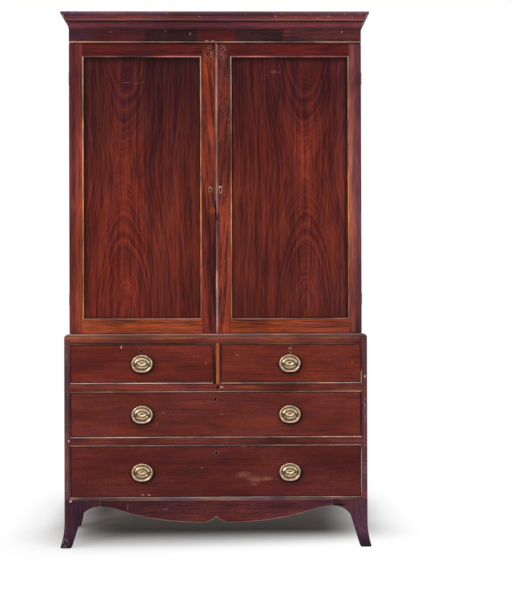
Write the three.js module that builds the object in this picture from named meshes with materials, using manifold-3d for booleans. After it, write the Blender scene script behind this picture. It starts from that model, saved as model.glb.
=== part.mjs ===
// A linen press: a cupboard with two panelled doors and sliding-tray shelves, standing on a chest
// of two short and two long drawers, on a shaped apron and splayed bracket feet.
// Millimetres. X runs across the press, its front faces -Y, and Z is the height above the floor.

import * as THREE from 'three';
import { mergeVertices } from 'three/addons/utils/BufferGeometryUtils.js';
import Module from 'manifold-3d';

const wasm = await Module();
wasm.setup();

// Overall plan
const lowerWidth = 1188;
const lowerDepth = 545;
const caseStep = 19;
const sideThickness = 20;
const backThickness = 12;

// Heights, from the floor up
const baseHeight = 186;
const bottomLip = 6;
const bottomDrawerOpening = 210;
const lowerRailHeight = 26;
const middleDrawerOpening = 185;
const upperRailHeight = 27;
const topDrawerOpening = 160;
const lowerTopThickness = 16;
const waistHeight = 20.5;
const doorFootGap = 3;
const doorHeight = 1138;
const doorHeadGap = 4;
const friezeHeight = 54.5;
const corniceHeight = 64;

// Fits
const seatGap = 0.3;
const drawerClearance = 1.2;
const doorJointGap = 1;
const cutOverrun = 4;

// Boards and rails of the cases
const bottomBoardThickness = 20;
const bottomLipProud = 3;
const railDepth = 60;
const dustBoardThickness = 10;
const dividerWidth = 25;
const dividerOffset = 4;
const guideHeight = 30;
const upperTopThickness = 20;
const upperTopDrop = 20;
const upperBottomThickness = 20;
const upperBottomRise = 16.5;

// Feet and aprons
const footWing = 137;
const footFlare = 16;
const flareHeight = 100;
const footToeWidth = 28;
const footWaistWidth = 62;
const rearToeWidth = 8;
const rearWaistWidth = 30;
const rearWing = 64;
const footWaistHeight = 112;
const archHeight = 161;
const flareLevelShares = [0, 0.1, 0.22, 0.36, 0.52, 0.72, 1];
const archStartShares = [0.12, 0.67];
const archEndShares = [0.58, 1];
const frontApronShares = [
  [1, 1], [0.9, 0.955], [0.818, 0.898], [0.737, 0.826], [0.589, 0.727],
  [0.394, 0.646], [0.166, 0.602], [0.068, 0.627], [0, 0.745],
];
const sideApronShares = [[1, 1], [0.78, 0.95], [0.5, 0.84], [0.22, 0.77], [0, 0.745]];
const apronSteps = 20;
const sideApronSteps = 8;
const archSteps = 8;

// Mouldings, as shares of their own projection and height
const waistProfileShares = [
  [1, 0], [1, 0.3], [0.97, 0.45], [0.88, 0.6], [0.74, 0.75], [0.54, 0.88], [0.32, 0.96], [0.16, 1],
];
const corniceProjection = 30;
const corniceSeat = 45;
const corniceProfileShares = [
  [0.03, 1], [0.03, 0.9], [0.08, 0.87], [0.1, 0.77], [0.15, 0.67], [0.24, 0.6], [0.38, 0.56],
  [0.46, 0.53], [0.53, 0.49], [0.56, 0.44], [0.54, 0.39], [0.48, 0.35], [0.54, 0.33], [0.58, 0.26],
  [0.67, 0.2], [0.82, 0.15], [1, 0.11], [1, 0],
];
const friezeBeadHeight = 6;
const friezeBeadProud = 4;

// Doors
const doorThickness = 24;
const leftHingeStile = 52;
const leftMeetingStile = 54;
const rightHingeStile = 48;
const rightMeetingStile = 50;
const doorTopRail = 47;
const doorBottomRail = 53;
const panelRecess = 8;
const panelThickness = 11;
const panelLap = 9;
const panelBeadWidth = 5;
const panelBeadProud = 1.2;
const meetingBeadWidth = 8.5;
const meetingBeadProud = 3;
const meetingGap = 1.5;

// Door hinges
const hingeHeight = 48;
const hingeInset = 109;
const hingeLeafWidth = 15;
const hingeLeafThickness = 1.5;
const hingeBarrelRadius = 3.2;
const hingePinRadius = 1.3;
const hingeAxisOut = 0.8;
const hingePlay = 0.4;
const hingeSides = 16;

// Drawers
const drawerFrontThickness = 22;
const cockbeadWidth = 4;
const cockbeadProud = 2;
const drawerSideThickness = 11;
const drawerBottomThickness = 8;
const drawerBottomRise = 8;
const drawerRearSpace = 18;
const drawerSideDrop = 8;

// Trays behind the doors
const trayCount = 4;
const trayHeight = 105;
const trayFrontHeight = 62;
const trayWall = 9;
const trayBottom = 9;
const trayTongue = 7;
const traySetback = 14;
const trayRearSpace = 12;
const trayFirstRise = 12;
const trayPitch = 286;

// Drawer handles
const handleSpread = 580;
const bottomHandleDrop = 3;
const plateWidth = 84;
const plateHeight = 69;
const plateThickness = 4;
const platePosts = 56;
const platePostDrop = 4;
const postRadius = 4.2;
const postLength = 15;
const pivotShare = 0.7;
const bailRadius = 3;
const bailHalfWidth = 36;
const bailDrop = 27;
const bailPinRadius = 1.9;
const bailPinPlay = 0.45;
const bailPinEnd = 5;
const plateProfileShares = [
  [0, 0.45], [0.14, 0.5], [0.34, 0.95], [0.5, 0.45], [0.57, 0.85], [0.72, 0.24],
  [0.79, 0.2], [0.88, 0.55], [0.97, 0.45], [1, 0], [0, 0],
];
const postProfileShares = [
  [0, 1], [0.62, 0.96], [0.95, 0.84], [1, 0.7], [0.94, 0.56], [0.72, 0.42], [1.12, 0.27],
  [1.12, 0.05], [0, 0.05],
];
const plateSides = 24;
const postSides = 10;
const bailSides = 8;
const bailSteps = 18;
const bailSquareness = 2.4;

// Levels worked out from the heights
const bottomBoardTop = baseHeight + bottomLip;
const lowerRailBottom = bottomBoardTop + bottomDrawerOpening;
const lowerRailTop = lowerRailBottom + lowerRailHeight;
const upperRailBottom = lowerRailTop + middleDrawerOpening;
const upperRailTop = upperRailBottom + upperRailHeight;
const lowerTopBottom = upperRailTop + topDrawerOpening;
const lowerTop = lowerTopBottom + lowerTopThickness;
const waistTop = lowerTop + waistHeight;
const doorBottom = waistTop + doorFootGap;
const doorTop = doorBottom + doorHeight;
const friezeBottom = doorTop + doorHeadGap;
const corniceBottom = friezeBottom + friezeHeight;
const overallHeight = corniceBottom + corniceHeight;
const upperCaseTop = overallHeight - upperTopDrop;

// Planes worked out from the plan
const upperWidth = lowerWidth - 2 * caseStep;
const frontReach = Math.max(footFlare, seatGap + postLength, corniceProjection - caseStep);
const frontY = (frontReach - lowerDepth) / 2;
const backY = frontY + lowerDepth;
const doorFaceY = frontY + caseStep;
const doorBackY = doorFaceY + doorThickness;
const upperFrontY = doorBackY + doorJointGap;
const lowerHalf = lowerWidth / 2;
const upperHalf = upperWidth / 2;
const lowerInner = lowerHalf - sideThickness;
const upperInner = upperHalf - sideThickness;
const backBoardY = backY - backThickness;

const woodFinish = { roughness: 0.35, metalness: 0 };
const finishes = {
  carcass: new THREE.MeshStandardMaterial({ color: 0x5a2d33, ...woodFinish }),
  doorFrame: new THREE.MeshStandardMaterial({ color: 0x86402a, ...woodFinish }),
  doorPanel: new THREE.MeshStandardMaterial({ color: 0x5c2420, ...woodFinish }),
  drawerFront: new THREE.MeshStandardMaterial({ color: 0x69291f, ...woodFinish }),
  base: new THREE.MeshStandardMaterial({ color: 0x40202c, ...woodFinish }),
  secondary: new THREE.MeshStandardMaterial({ color: 0xa67c4e, roughness: 0.7, metalness: 0 }),
  brass: new THREE.MeshStandardMaterial({ color: 0xb9a078, roughness: 0.3, metalness: 1 }),
};

// Geometry tools

// Merges shared corners and drops triangles that collapsed to a line.
function weld(geometry) {
  const bare = geometry.clone();
  bare.deleteAttribute('normal');
  bare.deleteAttribute('uv');
  const merged = mergeVertices(bare);
  const kept = [];
  for (let i = 0; i < merged.index.count; i += 3) {
    const corners = [merged.index.getX(i), merged.index.getX(i + 1), merged.index.getX(i + 2)];
    if (new Set(corners).size === 3) {
      kept.push(...corners);
    }
  }
  merged.setIndex(kept);
  return merged;
}

function toSolid(geometry) {
  const welded = weld(geometry);
  const vertProperties = new Float32Array(welded.getAttribute('position').array);
  const triVerts = new Uint32Array(welded.index.array);
  return new wasm.Manifold(new wasm.Mesh({ numProp: 3, vertProperties, triVerts }));
}

function toGeometry(solid) {
  const mesh = solid.getMesh();
  const geometry = new THREE.BufferGeometry();
  geometry.setAttribute('position', new THREE.BufferAttribute(mesh.vertProperties, 3));
  geometry.setIndex(new THREE.BufferAttribute(mesh.triVerts, 1));
  return geometry;
}

function joined(geometries) {
  return geometries.map(toSolid).reduce((whole, next) => whole.add(next));
}

function cutFrom(solid, geometries) {
  return geometries.map(toSolid).reduce((rest, cutter) => rest.subtract(cutter), solid);
}

function block(x, y, z) {
  const geometry = new THREE.BoxGeometry(x[1] - x[0], y[1] - y[0], z[1] - z[0]);
  return geometry.translate((x[0] + x[1]) / 2, (y[0] + y[1]) / 2, (z[0] + z[1]) / 2);
}

// Joins rings of points into one closed body. Rings run round a loop, or end in two flat caps.
function loft(rings, isLoop) {
  const size = rings[0].length;
  const positions = rings.flat().flatMap((point) => [point.x, point.y, point.z]);
  const indices = [];
  const spans = isLoop ? rings.length : rings.length - 1;
  for (let i = 0; i < spans; i += 1) {
    const here = i * size;
    const next = ((i + 1) % rings.length) * size;
    for (let j = 0; j < size; j += 1) {
      const k = (j + 1) % size;
      indices.push(here + j, here + k, next + k, here + j, next + k, next + j);
    }
  }
  const geometry = new THREE.BufferGeometry();
  geometry.setAttribute('position', new THREE.Float32BufferAttribute(positions, 3));
  if (!isLoop) {
    indices.push(...capTriangles(rings[0], 0, true));
    indices.push(...capTriangles(rings[rings.length - 1], spans * size, false));
  }
  geometry.setIndex(indices);
  return facedOut(geometry);
}

// Triangles of a flat end, worked out in the two directions of its plane.
function capTriangles(ring, offset, isStart) {
  const normal = new THREE.Vector3();
  ring.forEach((point, i) => {
    const next = ring[(i + 1) % ring.length];
    normal.add(new THREE.Vector3().crossVectors(point, next));
  });
  normal.normalize();
  const turn = new THREE.Quaternion().setFromUnitVectors(normal, new THREE.Vector3(0, 0, 1));
  const flat = ring.map((point) => {
    const turned = point.clone().applyQuaternion(turn);
    return new THREE.Vector2(turned.x, turned.y);
  });
  const faces = THREE.ShapeUtils.triangulateShape(flat, []);
  return faces.flatMap(([a, b, c]) => (isStart ? [c, b, a] : [a, b, c]).map((i) => i + offset));
}

// Turns every face over when the enclosed volume comes out negative.
function facedOut(geometry) {
  const position = geometry.getAttribute('position');
  const corner = (i) => new THREE.Vector3().fromBufferAttribute(position, geometry.index.getX(i));
  let volume = 0;
  for (let i = 0; i < geometry.index.count; i += 3) {
    volume += corner(i).dot(corner(i + 1).cross(corner(i + 2)));
  }
  if (volume < 0) {
    geometry.setIndex([...geometry.index.array].reverse());
  }
  return geometry;
}

// Sweeps a section round a path of corners with mitred joints. The section's first number is the
// distance out from the path, to the right of its direction of travel, and its second the height.
function mitredSweep(path, section, isLoop) {
  const rings = path.map((corner, i) => {
    const before = path[(i + path.length - 1) % path.length];
    const after = path[(i + 1) % path.length];
    const into = corner.clone().sub(before).normalize();
    const out = after.clone().sub(corner).normalize();
    if (!isLoop && i === 0) {
      into.copy(out);
    }
    if (!isLoop && i === path.length - 1) {
      out.copy(into);
    }
    const rightIn = new THREE.Vector2(into.y, -into.x);
    const rightOut = new THREE.Vector2(out.y, -out.x);
    const mitre = rightIn.clone().add(rightOut).divideScalar(1 + rightIn.dot(rightOut));
    return section.map(([distance, height]) => new THREE.Vector3(
      corner.x + mitre.x * distance,
      corner.y + mitre.y * distance,
      height,
    ));
  });
  return loft(rings, isLoop);
}

// Turns a shape drawn in the floor plan into one drawn on the front, its height towards the viewer.
function uprightToFront(geometry) {
  return geometry.applyMatrix4(new THREE.Matrix4().makeBasis(
    new THREE.Vector3(1, 0, 0),
    new THREE.Vector3(0, 0, 1),
    new THREE.Vector3(0, -1, 0),
  ));
}

// Extrudes an outline of (y, z) points across the press.
function extrudedAcross(outline, x) {
  const shape = new THREE.Shape(outline.map(([y, z]) => new THREE.Vector2(y, z)));
  const geometry = new THREE.ExtrudeGeometry(shape, { depth: x[1] - x[0], bevelEnabled: false });
  geometry.applyMatrix4(new THREE.Matrix4().makeBasis(
    new THREE.Vector3(0, 1, 0),
    new THREE.Vector3(0, 0, 1),
    new THREE.Vector3(1, 0, 0),
  ));
  return geometry.translate(x[0], 0, 0);
}

// Extrudes an outline of (x, z) points from front to back.
function extrudedBack(outline, y) {
  const shape = new THREE.Shape(outline.map(([x, z]) => new THREE.Vector2(x, z)));
  const geometry = new THREE.ExtrudeGeometry(shape, { depth: y[1] - y[0], bevelEnabled: false });
  return uprightToFront(geometry).translate(0, y[1], 0);
}

function rectangle(x, z) {
  return [
    new THREE.Vector2(x[0], z[0]),
    new THREE.Vector2(x[0], z[1]),
    new THREE.Vector2(x[1], z[1]),
    new THREE.Vector2(x[1], z[0]),
  ];
}

function scaledShares(shares, across, up) {
  return shares.map(([a, b]) => [a * across, b * up]);
}

function piece(name, geometry, finish) {
  const mesh = new THREE.Mesh(weld(geometry), finish);
  mesh.name = name;
  return mesh;
}

// A board is a box about its own centre, placed by its mesh.
function board(name, x, y, z, finish) {
  const mesh = piece(name, new THREE.BoxGeometry(x[1] - x[0], y[1] - y[0], z[1] - z[0]), finish);
  mesh.position.set((x[0] + x[1]) / 2, (y[0] + y[1]) / 2, (z[0] + z[1]) / 2);
  return mesh;
}

function sideName(side) {
  return side < 0 ? 'left' : 'right';
}

function ordered(a, b) {
  return a < b ? [a, b] : [b, a];
}

// Base: aprons and splayed feet

function flareAt(z) {
  const above = Math.min(z / flareHeight, 1);
  return footFlare * (1 - above) ** 2;
}

// The hollow under a foot's wing: out from the toe, up the leg and round to the arch's crown.
function archOutline(toeWidth, waistWidth, wing) {
  const shape = new THREE.Shape();
  shape.moveTo(waistWidth, footWaistHeight);
  const acrossArch = wing - waistWidth;
  const upArch = archHeight - footWaistHeight;
  shape.bezierCurveTo(
    waistWidth + archStartShares[0] * acrossArch,
    footWaistHeight + archStartShares[1] * upArch,
    waistWidth + archEndShares[0] * acrossArch,
    footWaistHeight + archEndShares[1] * upArch,
    wing,
    archHeight,
  );
  const arch = shape.getPoints(archSteps).map((point) => [point.x, point.y]);
  const slope = (waistWidth - toeWidth) / footWaistHeight;
  return [
    [toeWidth - slope * cutOverrun, -cutOverrun],
    ...arch,
    [wing + cutOverrun, archHeight],
    [wing + cutOverrun, -cutOverrun],
  ];
}

// A corner foot of two wings. It splays sideways, and forwards too where it is a front foot.
// The rear foot's wing across the back is only a short brace.
function foot(side, isFront) {
  const end = isFront ? -1 : 1;
  const endY = isFront ? frontY : backY;
  const crossWing = isFront ? footWing : rearWing;
  const levels = flareLevelShares.map((share) => share * flareHeight).concat(baseHeight);
  const rings = levels.map((z) => {
    const splay = flareAt(z);
    const outX = side * (lowerHalf + splay);
    const outY = endY + end * (isFront ? splay : 0);
    const wingX = side * (lowerHalf - crossWing);
    const wingY = endY - end * footWing;
    const innerX = side * lowerInner;
    const innerY = endY - end * sideThickness;
    return [
      new THREE.Vector3(outX, outY, z),
      new THREE.Vector3(wingX, outY, z),
      new THREE.Vector3(wingX, innerY, z),
      new THREE.Vector3(innerX, innerY, z),
      new THREE.Vector3(innerX, wingY, z),
      new THREE.Vector3(outX, wingY, z),
    ];
  });
  const reach = footFlare + sideThickness + cutOverrun;
  const sideOutline = archOutline(footToeWidth, footWaistWidth, footWing);
  const crossOutline = isFront ? sideOutline : archOutline(rearToeWidth, rearWaistWidth, rearWing);
  const wingCut = crossOutline.map(([out, z]) => [side * (lowerHalf - out), z]);
  const sideCut = sideOutline.map(([out, z]) => [endY - end * out, z]);
  const cutDepth = isFront ? reach : footWing + reach;
  const wingSpan = ordered(endY + end * reach, endY - end * cutDepth);
  const sideSpan = ordered(side * (lowerHalf + reach), side * (lowerHalf - reach));
  const solid = cutFrom(toSolid(loft(rings, false)), [
    extrudedBack(wingCut, wingSpan),
    extrudedAcross(sideCut, sideSpan),
  ]);
  const name = `foot_${isFront ? 'front' : 'rear'}_${sideName(side)}`;
  return piece(name, toGeometry(solid), finishes.base);
}

function apronCurve(shares, half, steps) {
  const points = shares.map(([out, up]) => new THREE.Vector2(out * half, up * archHeight));
  return new THREE.SplineCurve(points).getPoints(steps).map((point) => [point.x, point.y]);
}

// The front apron hangs in two mirrored waves that meet at a small cusp in the middle.
function frontApron() {
  const half = lowerHalf - footWing - seatGap;
  const rightHalf = apronCurve(frontApronShares, half, apronSteps);
  const leftHalf = rightHalf.slice(0, -1).map(([x, z]) => [-x, z]).reverse();
  const outline = [[half, baseHeight], ...rightHalf, ...leftHalf, [-half, baseHeight]];
  const geometry = extrudedBack(outline, [frontY, frontY + sideThickness]);
  return piece('front_apron', geometry, finishes.base);
}

function sideApron(side) {
  const middleY = (frontY + backY) / 2;
  const half = lowerDepth / 2 - footWing - seatGap;
  const rear = apronCurve(sideApronShares, half, sideApronSteps);
  const front = rear.slice(0, -1).map(([y, z]) => [-y, z]).reverse();
  const outline = [[half, baseHeight], ...rear, ...front, [-half, baseHeight]];
  const placed = outline.map(([y, z]) => [y + middleY, z]);
  const geometry = extrudedAcross(placed, ordered(side * lowerHalf, side * lowerInner));
  return piece(`side_apron_${sideName(side)}`, geometry, finishes.base);
}

function base() {
  const group = new THREE.Group();
  group.add(frontApron());
  for (const side of [-1, 1]) {
    group.add(sideApron(side), foot(side, true), foot(side, false));
  }
  return group;
}

// Lower case: the chest that holds the drawers

// The bottom board's front edge shows as a thin bead between the apron and the bottom drawer.
function lowerBottomBoard() {
  const proudY = frontY - bottomLipProud;
  const boardBottom = bottomBoardTop - bottomBoardThickness;
  const behindApron = frontY + sideThickness + seatGap;
  const beforeRearFeet = backY - sideThickness - seatGap;
  const overApron = baseHeight + seatGap;
  const quarter = (bottomBoardTop - overApron) / 4;
  const outline = [
    [behindApron, boardBottom],
    [beforeRearFeet, boardBottom],
    [beforeRearFeet, overApron],
    [backBoardY - seatGap, overApron],
    [backBoardY - seatGap, bottomBoardTop],
    [proudY + quarter, bottomBoardTop],
    [proudY, bottomBoardTop - quarter],
    [proudY, overApron + quarter],
    [proudY + quarter, overApron],
    [behindApron, overApron],
  ];
  const half = lowerInner - seatGap;
  return piece('lower_bottom_board', extrudedAcross(outline, [-half, half]), finishes.carcass);
}

// A dust board is a deep front rail with a thinner board behind it, their tops in one plane.
function dustBoard(name, bottom, top) {
  const outline = [
    [frontY, bottom],
    [frontY + railDepth, bottom],
    [frontY + railDepth, top - dustBoardThickness],
    [backBoardY - seatGap, top - dustBoardThickness],
    [backBoardY - seatGap, top],
    [frontY, top],
  ];
  const half = lowerInner - seatGap;
  return piece(name, extrudedAcross(outline, [-half, half]), finishes.drawerFront);
}

// The upright between the two short drawers, with the low guide that runs back from it.
function drawerDivider() {
  const bottom = upperRailTop + seatGap;
  const top = lowerTopBottom - seatGap;
  const outline = [
    [frontY, bottom],
    [backBoardY - seatGap, bottom],
    [backBoardY - seatGap, bottom + guideHeight],
    [frontY + railDepth, bottom + guideHeight],
    [frontY + railDepth, top],
    [frontY, top],
  ];
  const span = [dividerOffset - dividerWidth / 2, dividerOffset + dividerWidth / 2];
  return piece('drawer_divider', extrudedAcross(outline, span), finishes.doorFrame);
}

function lowerCase() {
  const group = new THREE.Group();
  const half = lowerInner - seatGap;
  const rise = [baseHeight + seatGap, lowerTop];
  for (const side of [-1, 1]) {
    const span = ordered(side * lowerHalf, side * lowerInner);
    const name = `lower_side_${sideName(side)}`;
    group.add(board(name, span, [frontY, backY], rise, finishes.carcass));
  }
  const topRise = [lowerTopBottom, lowerTop];
  const topRun = [frontY, backBoardY - seatGap];
  const backRise = [baseHeight + seatGap, lowerTop];
  group.add(
    board('lower_top_board', [-half, half], topRun, topRise, finishes.carcass),
    board('lower_back_board', [-half, half], [backBoardY, backY], backRise, finishes.secondary),
    lowerBottomBoard(),
    dustBoard('dust_board_lower', lowerRailBottom, lowerRailTop),
    dustBoard('dust_board_upper', upperRailBottom, upperRailTop),
    drawerDivider(),
    waistMoulding(),
  );
  return group;
}

// The path that the waist moulding and the cornice follow: along one side, across the front
// and back along the other side, against the upper case.
function mouldingPath() {
  return [
    new THREE.Vector2(-upperHalf, backY),
    new THREE.Vector2(-upperHalf, doorFaceY),
    new THREE.Vector2(upperHalf, doorFaceY),
    new THREE.Vector2(upperHalf, backY),
  ];
}

function waistMoulding() {
  const face = scaledShares(waistProfileShares, caseStep, waistHeight);
  const section = [[seatGap, 0], ...face, [seatGap, waistHeight]];
  const placed = section.map(([out, up]) => [out, up + seatGap]);
  const mesh = piece('waist_moulding', mitredSweep(mouldingPath(), placed, false), finishes.carcass);
  mesh.position.z = lowerTop;
  return mesh;
}

// Upper case: the cupboard

function hingeLevels() {
  return {
    top: doorTop - hingeInset - hingeHeight,
    bottom: doorBottom + hingeInset,
  };
}

// Room for a hinge's barrel at the corner of a board, and for the leaf let into its face.
function hingeRecess(side, bottom, leafY) {
  const axisX = side * (upperHalf + hingeAxisOut);
  const axisY = doorBackY + doorJointGap / 2;
  const clear = hingeBarrelRadius + hingePlay;
  const leafEnd = side * (upperHalf + hingeAxisOut - clear - hingeLeafWidth - hingePlay);
  const rise = [bottom - seatGap, bottom + hingeHeight + seatGap];
  return [
    block([axisX - clear, axisX + clear], [axisY - clear, axisY + clear], rise),
    block(ordered(axisX, leafEnd), leafY, rise),
  ];
}

// An upper side has a toe that runs forward under the doors, and grooves for the trays.
function upperSide(side) {
  const toeY = doorFaceY + seatGap;
  const bottom = lowerTop + seatGap;
  const outline = [
    [toeY, bottom],
    [backY, bottom],
    [backY, upperCaseTop],
    [upperFrontY, upperCaseTop],
    [upperFrontY, waistTop],
    [toeY, waistTop],
  ];
  const solid = toSolid(extrudedAcross(outline, ordered(side * upperHalf, side * upperInner)));
  const cuts = [];
  for (const level of Object.values(hingeLevels())) {
    const leafY = [upperFrontY - cutOverrun, upperFrontY + hingeLeafThickness + seatGap];
    cuts.push(...hingeRecess(side, level, leafY));
  }
  for (let i = 0; i < trayCount; i += 1) {
    const floor = trayLevel(i);
    const depth = trayTongue + seatGap;
    cuts.push(block(
      ordered(side * (upperInner - cutOverrun), side * (upperInner + depth)),
      [upperFrontY + traySetback - seatGap, backBoardY],
      [floor - seatGap, floor + trayBottom + seatGap],
    ));
  }
  return piece(`upper_side_${sideName(side)}`, toGeometry(cutFrom(solid, cuts)), finishes.carcass);
}

// The bottom board has a rail under its front edge that reaches forward below the doors.
function upperBottomBoard() {
  const toeY = doorFaceY + seatGap;
  const bottom = lowerTop + seatGap;
  const boardBottom = lowerTop + upperBottomRise;
  const boardTop = boardBottom + upperBottomThickness;
  const outline = [
    [toeY, bottom],
    [toeY + railDepth, bottom],
    [toeY + railDepth, boardBottom],
    [backBoardY - seatGap, boardBottom],
    [backBoardY - seatGap, boardTop],
    [upperFrontY, boardTop],
    [upperFrontY, waistTop],
    [toeY, waistTop],
  ];
  const half = upperInner - seatGap;
  return piece('upper_bottom_board', extrudedAcross(outline, [-half, half]), finishes.carcass);
}

// The frieze is planted on the front of the case, with a bead along its lower edge.
function frieze() {
  const faceY = doorFaceY;
  const rearY = upperFrontY - seatGap;
  const quarter = friezeBeadHeight / 4;
  const beadY = faceY - friezeBeadProud;
  const outline = [
    [rearY, friezeBottom],
    [rearY, upperCaseTop],
    [faceY + seatGap, upperCaseTop],
    [faceY + seatGap, corniceBottom],
    [faceY, corniceBottom],
    [faceY, friezeBottom + friezeBeadHeight],
    [beadY + quarter, friezeBottom + friezeBeadHeight],
    [beadY, friezeBottom + friezeBeadHeight - quarter],
    [beadY, friezeBottom + quarter],
    [beadY + quarter, friezeBottom],
  ];
  return piece('frieze', extrudedAcross(outline, [-upperHalf, upperHalf]), finishes.carcass);
}

// The cornice sits on the case like a three-sided frame, its lower part planted round the case.
function cornice() {
  const face = corniceProfileShares.map(([out, down]) => [
    out * corniceProjection,
    (1 - down) * corniceHeight,
  ]);
  const shelf = corniceHeight - upperTopDrop + seatGap;
  const section = [
    [seatGap, 0],
    ...face,
    [-corniceSeat, corniceHeight],
    [-corniceSeat, shelf],
    [seatGap, shelf],
  ];
  const mesh = piece('cornice', mitredSweep(mouldingPath(), section, false), finishes.carcass);
  mesh.position.z = corniceBottom;
  return mesh;
}

function trayLevel(index) {
  return lowerTop + upperBottomRise + upperBottomThickness + trayFirstRise + index * trayPitch;
}

// A tray's bottom runs out past its sides into the grooves. Its front is cut low.
function tray(index) {
  const floor = trayLevel(index);
  const half = upperInner - 2 * seatGap;
  const run = [upperFrontY + traySetback, backBoardY - trayRearSpace];
  const tongue = upperInner + trayTongue;
  const inner = [-half + trayWall, half - trayWall];
  const innerRun = [run[0] + trayWall, run[1] - trayWall];
  const above = floor + trayHeight + cutOverrun;
  const solid = cutFrom(
    joined([
      block([-tongue, tongue], run, [floor, floor + trayBottom]),
      block([-half, half], run, [floor, floor + trayHeight]),
    ]),
    [
      block(inner, innerRun, [floor + trayBottom, above]),
      block(inner, [run[0] - cutOverrun, innerRun[0] + cutOverrun], [floor + trayFrontHeight, above]),
    ],
  );
  return piece(`tray_${index + 1}`, toGeometry(solid), finishes.secondary);
}

function upperCase() {
  const group = new THREE.Group();
  const half = upperInner - seatGap;
  const topRise = [upperCaseTop - upperTopThickness, upperCaseTop];
  const topRun = [upperFrontY, backBoardY - seatGap];
  const backRise = [lowerTop + seatGap, upperCaseTop];
  group.add(
    upperSide(-1),
    upperSide(1),
    upperBottomBoard(),
    board('upper_top_board', [-half, half], topRun, topRise, finishes.carcass),
    board('upper_back_board', [-half, half], [backBoardY, backY], backRise, finishes.secondary),
    frieze(),
    cornice(),
  );
  for (let i = 0; i < trayCount; i += 1) {
    group.add(tray(i));
  }
  return group;
}

// Door hinges: the case leaf carries the two outer knuckles and the pin, the door leaf turns
// round the pin with the middle knuckle.

function hingeLeaf(side, isDoorLeaf) {
  const thirdHeight = hingeHeight / 3;
  const inward = -side;
  const flat = isDoorLeaf ? [-doorJointGap / 2 - hingeLeafThickness, -doorJointGap / 2]
    : [doorJointGap / 2, doorJointGap / 2 + hingeLeafThickness];
  const plateStart = hingeBarrelRadius + hingePlay;
  const plateEnd = plateStart + hingeLeafWidth;
  const knuckles = isDoorLeaf ? [[thirdHeight + hingePlay / 2, 2 * thirdHeight - hingePlay / 2]]
    : [[0, thirdHeight - hingePlay / 2], [2 * thirdHeight + hingePlay / 2, hingeHeight]];
  const shapes = [block(ordered(inward * plateStart, inward * plateEnd), flat, [0, hingeHeight])];
  for (const rise of knuckles) {
    shapes.push(roundBar(hingeBarrelRadius, rise, hingeSides));
    shapes.push(block(ordered(0, inward * plateEnd), flat, rise));
  }
  const solid = joined(shapes);
  const boreRadius = hingePinRadius + hingePlay;
  if (isDoorLeaf) {
    const bore = roundBar(boreRadius, [-cutOverrun, hingeHeight + cutOverrun], hingeSides);
    return toGeometry(cutFrom(solid, [bore]));
  }
  return toGeometry(solid.add(toSolid(roundBar(hingePinRadius, [0, hingeHeight], hingeSides))));
}

function roundBar(radius, rise, sides) {
  const geometry = new THREE.CylinderGeometry(radius, radius, rise[1] - rise[0], sides);
  return geometry.rotateX(Math.PI / 2).translate(0, 0, (rise[0] + rise[1]) / 2);
}

function placedHingeLeaf(side, levelName, isDoorLeaf) {
  const kind = isDoorLeaf ? 'door' : 'case';
  const name = `hinge_${kind}_leaf_${sideName(side)}_${levelName}`;
  const mesh = piece(name, hingeLeaf(side, isDoorLeaf), finishes.brass);
  const axisX = side * (upperHalf + hingeAxisOut);
  mesh.position.set(axisX, doorBackY + doorJointGap / 2, hingeLevels()[levelName]);
  return mesh;
}

// Doors

// A door frame with a bead round its opening, open at the back for the panel.
function doorFrame(side, span, opening) {
  const rise = [doorBottom, doorTop];
  const openRise = [doorBottom + doorBottomRail, doorTop - doorTopRail];
  const through = [doorFaceY - cutOverrun, doorBackY + cutOverrun];
  const rebateY = [doorFaceY + panelRecess - seatGap, doorBackY + cutOverrun];
  const rebate = panelLap + seatGap;
  const cuts = [
    block(opening, through, openRise),
    block(
      [opening[0] - rebate, opening[1] + rebate],
      rebateY,
      [openRise[0] - rebate, openRise[1] + rebate],
    ),
  ];
  for (const level of Object.values(hingeLevels())) {
    const leafY = [doorBackY - hingeLeafThickness - seatGap, doorBackY + cutOverrun];
    cuts.push(...hingeRecess(side, level, leafY));
  }
  const plain = cutFrom(toSolid(block(span, [doorFaceY, doorBackY], rise)), cuts);
  const bead = panelBead(opening, openRise);
  const name = `${sideName(side)}_door_frame`;
  return piece(name, toGeometry(plain.add(toSolid(bead))), finishes.doorFrame);
}

// The half-round bead that holds the panel's face, rooted in the frame by its lap.
function panelBead(opening, openRise) {
  const root = -panelBeadWidth;
  const depth = -(panelRecess - seatGap);
  const section = [
    [root, depth],
    [panelBeadWidth, depth],
    [panelBeadWidth, depth / 3],
    [panelBeadWidth * 3 / 4, panelBeadProud / 2],
    [panelBeadWidth / 3, panelBeadProud],
    [0, panelBeadProud],
    [-panelBeadWidth / 5, 0],
    [root, -panelBeadProud],
  ];
  const ring = mitredSweep(rectangle(opening, openRise), section, true);
  return uprightToFront(ring).translate(0, doorFaceY, 0);
}

function doorPanel(side, opening) {
  const lap = panelLap;
  const faceY = doorFaceY + panelRecess;
  return board(
    `${sideName(side)}_door_panel`,
    [opening[0] - lap, opening[1] + lap],
    [faceY, faceY + panelThickness],
    [doorBottom + doorBottomRail - lap, doorTop - doorTopRail + lap],
    finishes.doorPanel,
  );
}

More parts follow.
